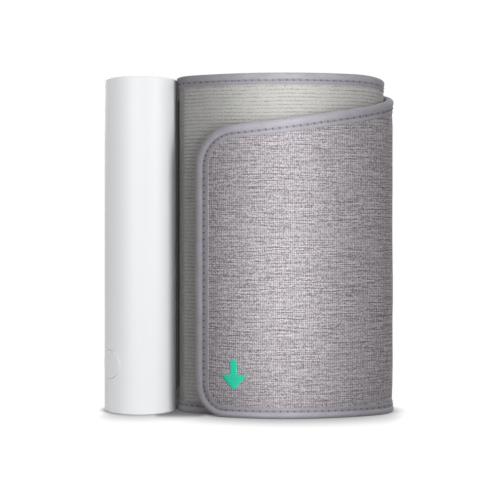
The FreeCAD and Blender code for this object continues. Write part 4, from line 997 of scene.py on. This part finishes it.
class MONITOR_OT_index_mark(bpy.types.Operator):
    """Printed arrow that shows where the artery lies"""
    bl_idname = "monitor.index_mark"
    bl_label = "Index Mark"

    def execute(self, context):
        sizes, colours = context.scene.monitor_cuff, context.scene.monitor_cloth
        roll = Roll(sizes)
        low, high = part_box("index_mark")
        middle = (low[0] + high[0]) / 2
        angle = math.asin((middle - roll.middle) / roll.arcs[0, 2])
        half, up = self.outline(low[2], high[2])
        across = np.linspace(-1, 1, 11)
        along = roll.along(FRONT + math.degrees(angle)) + half * across
        up = np.broadcast_to(up, along.shape)
        cloth = cloth_rise(roll, sizes, along, up)
        over = 0.16 * MM * (1 - np.abs(across) ** 6 * 0.7)
        top = roll.place(along, up, cloth + over)
        under = roll.place(along, up, cloth - 0.1 * MM)
        points = np.concatenate((top, under[:, ::-1]), 1)
        flat = np.stack((along, up), -1)
        piece = mesh_piece(
            "index_mark", points, closed_faces(*points.shape[:2], flip=True), [kept(printed_mark, colours)],
            np.concatenate((flat, flat[:, ::-1]), 1))
        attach(piece, "flap")
        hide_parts("index_mark")
        return {"FINISHED"}

    def outline(self, foot, top):
        """Half width and height up the arrow, from its tip at the foot to its round end"""
        wing, shaft, neck = 5.6 * MM, 1.55 * MM, foot + 6.2 * MM
        cap = shaft * 0.8
        rows = [(0.1 * MM, foot)]
        rows += [
            (0.35 * MM + (wing - 0.1 * MM) * share, foot + share * (neck - foot))
            for share in (0.02, 0.05, 0.1, 0.3, 0.5, 0.7, 0.86, 0.93)]
        rows += [
            (wing - 0.12 * MM, neck - 0.1 * MM), (wing - 0.45 * MM, neck + 0.22 * MM),
            (shaft + 0.5 * MM, neck + 0.26 * MM)]
        rows += [(shaft, height) for height in np.linspace(neck + 0.5 * MM, top - cap, 8)]
        rows += [
            (shaft * math.cos(turn), top - cap * (1 - math.sin(turn)))
            for turn in np.radians((20, 40, 60, 75, 85))]
        return np.array(rows).T[..., None]


def dress(finish, *nodes):
    """Gives CAD nodes a finish"""
    for name in nodes:
        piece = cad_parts[name]
        piece.data.materials.clear()
        piece.data.materials.append(finish)


class MONITOR_OT_housing(bpy.types.Operator):
    """Finishes of the white tube, its end caps and its button"""
    bl_idname = "monitor.housing"
    bl_label = "Housing"

    def execute(self, context):
        colours = context.scene.monitor_housing
        dress(
            moulded("tube_shell", colours.shell, 0.42, spread=0.012, Specular_IOR_Level=0.3), "tube_housing")
        dress(moulded("end_caps", colours.cap, 0.38, spread=0.012), "top_cap", "bottom_cap")
        dress(moulded("push_button", colours.button, 0.36, spread=0.012), "button_cap")
        return {"FINISHED"}


class MONITOR_OT_works(bpy.types.Operator):
    """Finishes of the electronics, the pump and the valve in the tube, and of the rail that holds the cuff"""
    bl_idname = "monitor.works"
    bl_label = "Works"

    def execute(self, context):
        black, grey = (0.02, 0.02, 0.022), (0.17, 0.175, 0.18)
        dress(
            moulded("black_resin", black, 0.45, spread=0.2), "switch_actuator", "tact_switch", "light_mask",
            "pump_head", "pump_drive_plate", "pump_cover", "air_manifold", "valve_body")
        dress(
            moulded("rail_resin", (0.05, 0.05, 0.054), 0.5, spread=0.15), "rail_bar", "cuff_rail",
            "air_nozzle")
        dress(moulded("chassis_resin", grey, 0.5, spread=0.1), "chassis")
        dress(
            moulded("chip_epoxy", (0.025, 0.025, 0.027), 0.6, grain=0.00015, spread=0.25), "board_chips",
            "pressure_sensor")
        dress(
            moulded("soft_rubber", (0.016, 0.016, 0.017), 0.7, spread=0.3), "pump_damper", "pump_diaphragm",
            "valve_seat")
        dress(moulded("silicone", (0.32, 0.33, 0.33), 0.4, spread=0.08), "pump_hose", "nozzle_gasket")
        dress(moulded("lamp_lens", (0.86, 0.85, 0.74), 0.15, spread=0.05, Coat_Weight=0.5), "led_matrix")
        steel = (0.62, 0.62, 0.63)
        dress(metal("zinc_steel", (0.58, 0.59, 0.6), 0.35), "board_screws", "rail_screws")
        dress(metal("drawn_steel", steel, 0.3), "pump_motor", "valve_plunger")
        dress(metal("ground_steel", steel, 0.2, drawn=(9000.0, 9000.0, 300.0)), "pump_shaft", "valve_spring")
        dress(
            metal("tinned_shield", (0.7, 0.7, 0.69), 0.32, drawn=(4000.0, 300.0, 300.0)), "radio_module",
            "usb_port")
        dress(circuit_board(), "main_board")
        dress(coil_winding(), "valve_coil")
        dress(cell_wrap(), "battery_cell")
        return {"FINISHED"}


class Surroundings(Finish):
    """The world's own nodes"""

    def __init__(self, world):
        self.material = world
        world.use_nodes = True
        self.tree = world.node_tree
        self.shader = self.tree.nodes["Background"]


class MONITOR_OT_stage(bpy.types.Operator):
    """Pale floor, soft studio light and the camera"""
    bl_idname = "monitor.stage"
    bl_label = "Stage"

    def execute(self, context):
        scene = context.scene
        sizes = scene.monitor_stage
        scene.view_settings.view_transform = "Standard"
        self.floor(sizes)
        self.surroundings(scene)
        housing = [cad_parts[name] for name in ("tube_housing", "top_cap", "bottom_cap", "button_cap")]
        cuff = [piece for piece in bpy.data.objects if piece.type == "MESH" and piece not in housing]
        self.light("cuff_strip", (0.0155, -0.064, 0.085), (92, 0, 0), (0.02, 0.3), 0.0915, cuff)
        self.light("cuff_side", (0.79, -0.45, 0.25), (80, 0, 60), (0.4, 0.6), 1.5, cuff)
        self.light("housing_left", (-0.3, -0.87, 0.2), (84, 0, -16), (0.5, 0.6), 5.4, housing)
        self.light("housing_right", (0.69, -0.51, 0.2), (84, 0, 55), (0.25, 0.6), 4.2, housing)
        self.light("top_soft", (0.0, -0.3, 1.0), (0, 0, 0), (0.8, 0.8), 2.0)
        self.light("right_back", (0.8, 0.7, 0.6), (62, 0, 131), (0.8, 0.8), 4.2)
        self.light("left_back", (-0.5, 1.1, 0.6), (62, 0, 205), (0.8, 0.8), 7.0)
        self.camera(scene, sizes)
        return {"FINISHED"}

    def floor(self, sizes):
        """Wide floor that the camera sees as white, with a painted shadow close to the object"""
        reach, count = 3.0, 13
        steps = np.linspace(-reach, reach, count)
        points = [(x, y, 0.0) for x in steps for y in steps]
        finish = Finish("pale_floor", Roughness=0.9, Specular_IOR_Level=0.0, Base_Color=shade(sizes.floor))
        place = finish.body()
        x, y = finish.axis(place, "X"), finish.axis(place, "Y")
        # The painted shadow reaches further ahead of the object, and furthest in the notch between tube and
        # cuff
        side, fade = 0.074, 0.016
        within = (side - x).between(0.0, fade) * (x + side).between(0.0, fade)
        ahead = within * (0.0 - y).between(0.006, 0.022)
        notch_place, notch_width = -0.0305, 0.012
        notch = (y + 0.021).between(0.0, 0.011) * (0.006 - y).between(0.0, 0.006)
        notch = notch * (1 - ((x - notch_place) / notch_width) ** 2).between(0.0, 0.6)
        shade_reach = 0.003 + x.between(-0.066, 0.066) * 0.0035 + ahead * 0.018 + notch * 0.06
        near = finish.add("AmbientOcclusion", {"samples": 24}, "AO", Distance=shade_reach)
        white = finish.mix(near ** (1.6 + notch * 1.1), (0.12, 0.12, 0.125, 1.0), (1.0, 1.0, 1.0, 1.0))
        glow = finish.add("Emission", {}, "Emission", Color=white)
        shader = Wire(finish, finish.shader.outputs["BSDF"])
        both = finish.add("MixShader", {}, "Shader", Fac=finish.seen(), Shader=shader, Shader_001=glow)
        finish.set(finish.tree.nodes["Material Output"], {"Surface": both})
        mesh_piece("floor", points, grid_faces(count, count), [finish.material])

    def surroundings(self, scene):
        """White to the camera, and a soft grey light to the object"""
        world = scene.world or bpy.data.worlds.new("studio")
        scene.world = world
        sky = Surroundings(world)
        seen = sky.seen() + sky.add("LightPath", {}, "Is Transmission Ray")
        grey = 0.135
        sky.paint(Color=(1.0, 1.0, 1.0, 1.0), Strength=grey + seen * (1 - grey))

    def light(self, name, place, turn, size, watts, receivers=()):
        """Soft lamp that the camera doesn't see, on all pieces or on some, as behind a flag"""
        lamp = bpy.data.lights.new(name, "AREA")
        lamp.shape = "RECTANGLE"
        lamp.size, lamp.size_y = size
        lamp.energy = watts
        holder = bpy.data.objects.new(name, lamp)
        holder.location = place
        holder.rotation_euler = [math.radians(angle) for angle in turn]
        holder.visible_camera = False
        bpy.context.scene.collection.objects.link(holder)
        if receivers:
            holder.light_linking.receiver_collection = bpy.data.collections.new(name)
            for piece in receivers:
                holder.light_linking.receiver_collection.objects.link(piece)

    def camera(self, scene, sizes):
        """Level camera, with its picture moved down to show the foot of the object"""
        view = bpy.data.cameras.new("camera")
        focal = sizes.scale * sizes.distance / MM
        view.sensor_width = SENSOR
        view.lens = SENSOR * focal / PICTURE
        view.shift_y = (sizes.foot - sizes.eye / MM * sizes.scale - PICTURE / 2) / PICTURE
        view.clip_start = 0.01
        holder = bpy.data.objects.new("camera", view)
        holder.location = (sizes.aside, -sizes.distance, sizes.eye)
        holder.rotation_euler = (math.radians(90), 0, 0)
        scene.collection.objects.link(holder)
        scene.camera = holder


OPERATORS = (
    MONITOR_OT_housing, MONITOR_OT_works, MONITOR_OT_outer_strip, MONITOR_OT_inner_strip,
    MONITOR_OT_edge_tapes, MONITOR_OT_hook_patch, MONITOR_OT_index_mark, MONITOR_OT_stage)


class MONITOR_PT_sidebar(bpy.types.Panel):
    """Lists what the script makes"""
    bl_idname = "MONITOR_PT_sidebar"
    bl_label = "Arm Cuff Monitor"
    bl_space_type = "VIEW_3D"
    bl_region_type = "UI"
    bl_category = "Monitor"

    def draw(self, context):
        for kind in OPERATORS:
            self.layout.operator(kind.bl_idname)


GROUPS = {
    "monitor_cuff": CuffSizes, "monitor_cloth": CuffColours, "monitor_housing": HousingColours,
    "monitor_stage": StageSizes}


def register():
    for kind in (*GROUPS.values(), *OPERATORS, MONITOR_PT_sidebar):
        bpy.utils.register_class(kind)
    for name, kind in GROUPS.items():
        setattr(bpy.types.Scene, name, PointerProperty(type=kind))


def unregister():
    for name in GROUPS:
        delattr(bpy.types.Scene, name)
    for kind in (MONITOR_PT_sidebar, *reversed(OPERATORS), *reversed(GROUPS.values())):
        bpy.utils.unregister_class(kind)


def main():
    register()
    for kind in OPERATORS:
        group, name = kind.bl_idname.split(".")
        getattr(getattr(bpy.ops, group), name)()


if __name__ == "__main__":
    main()
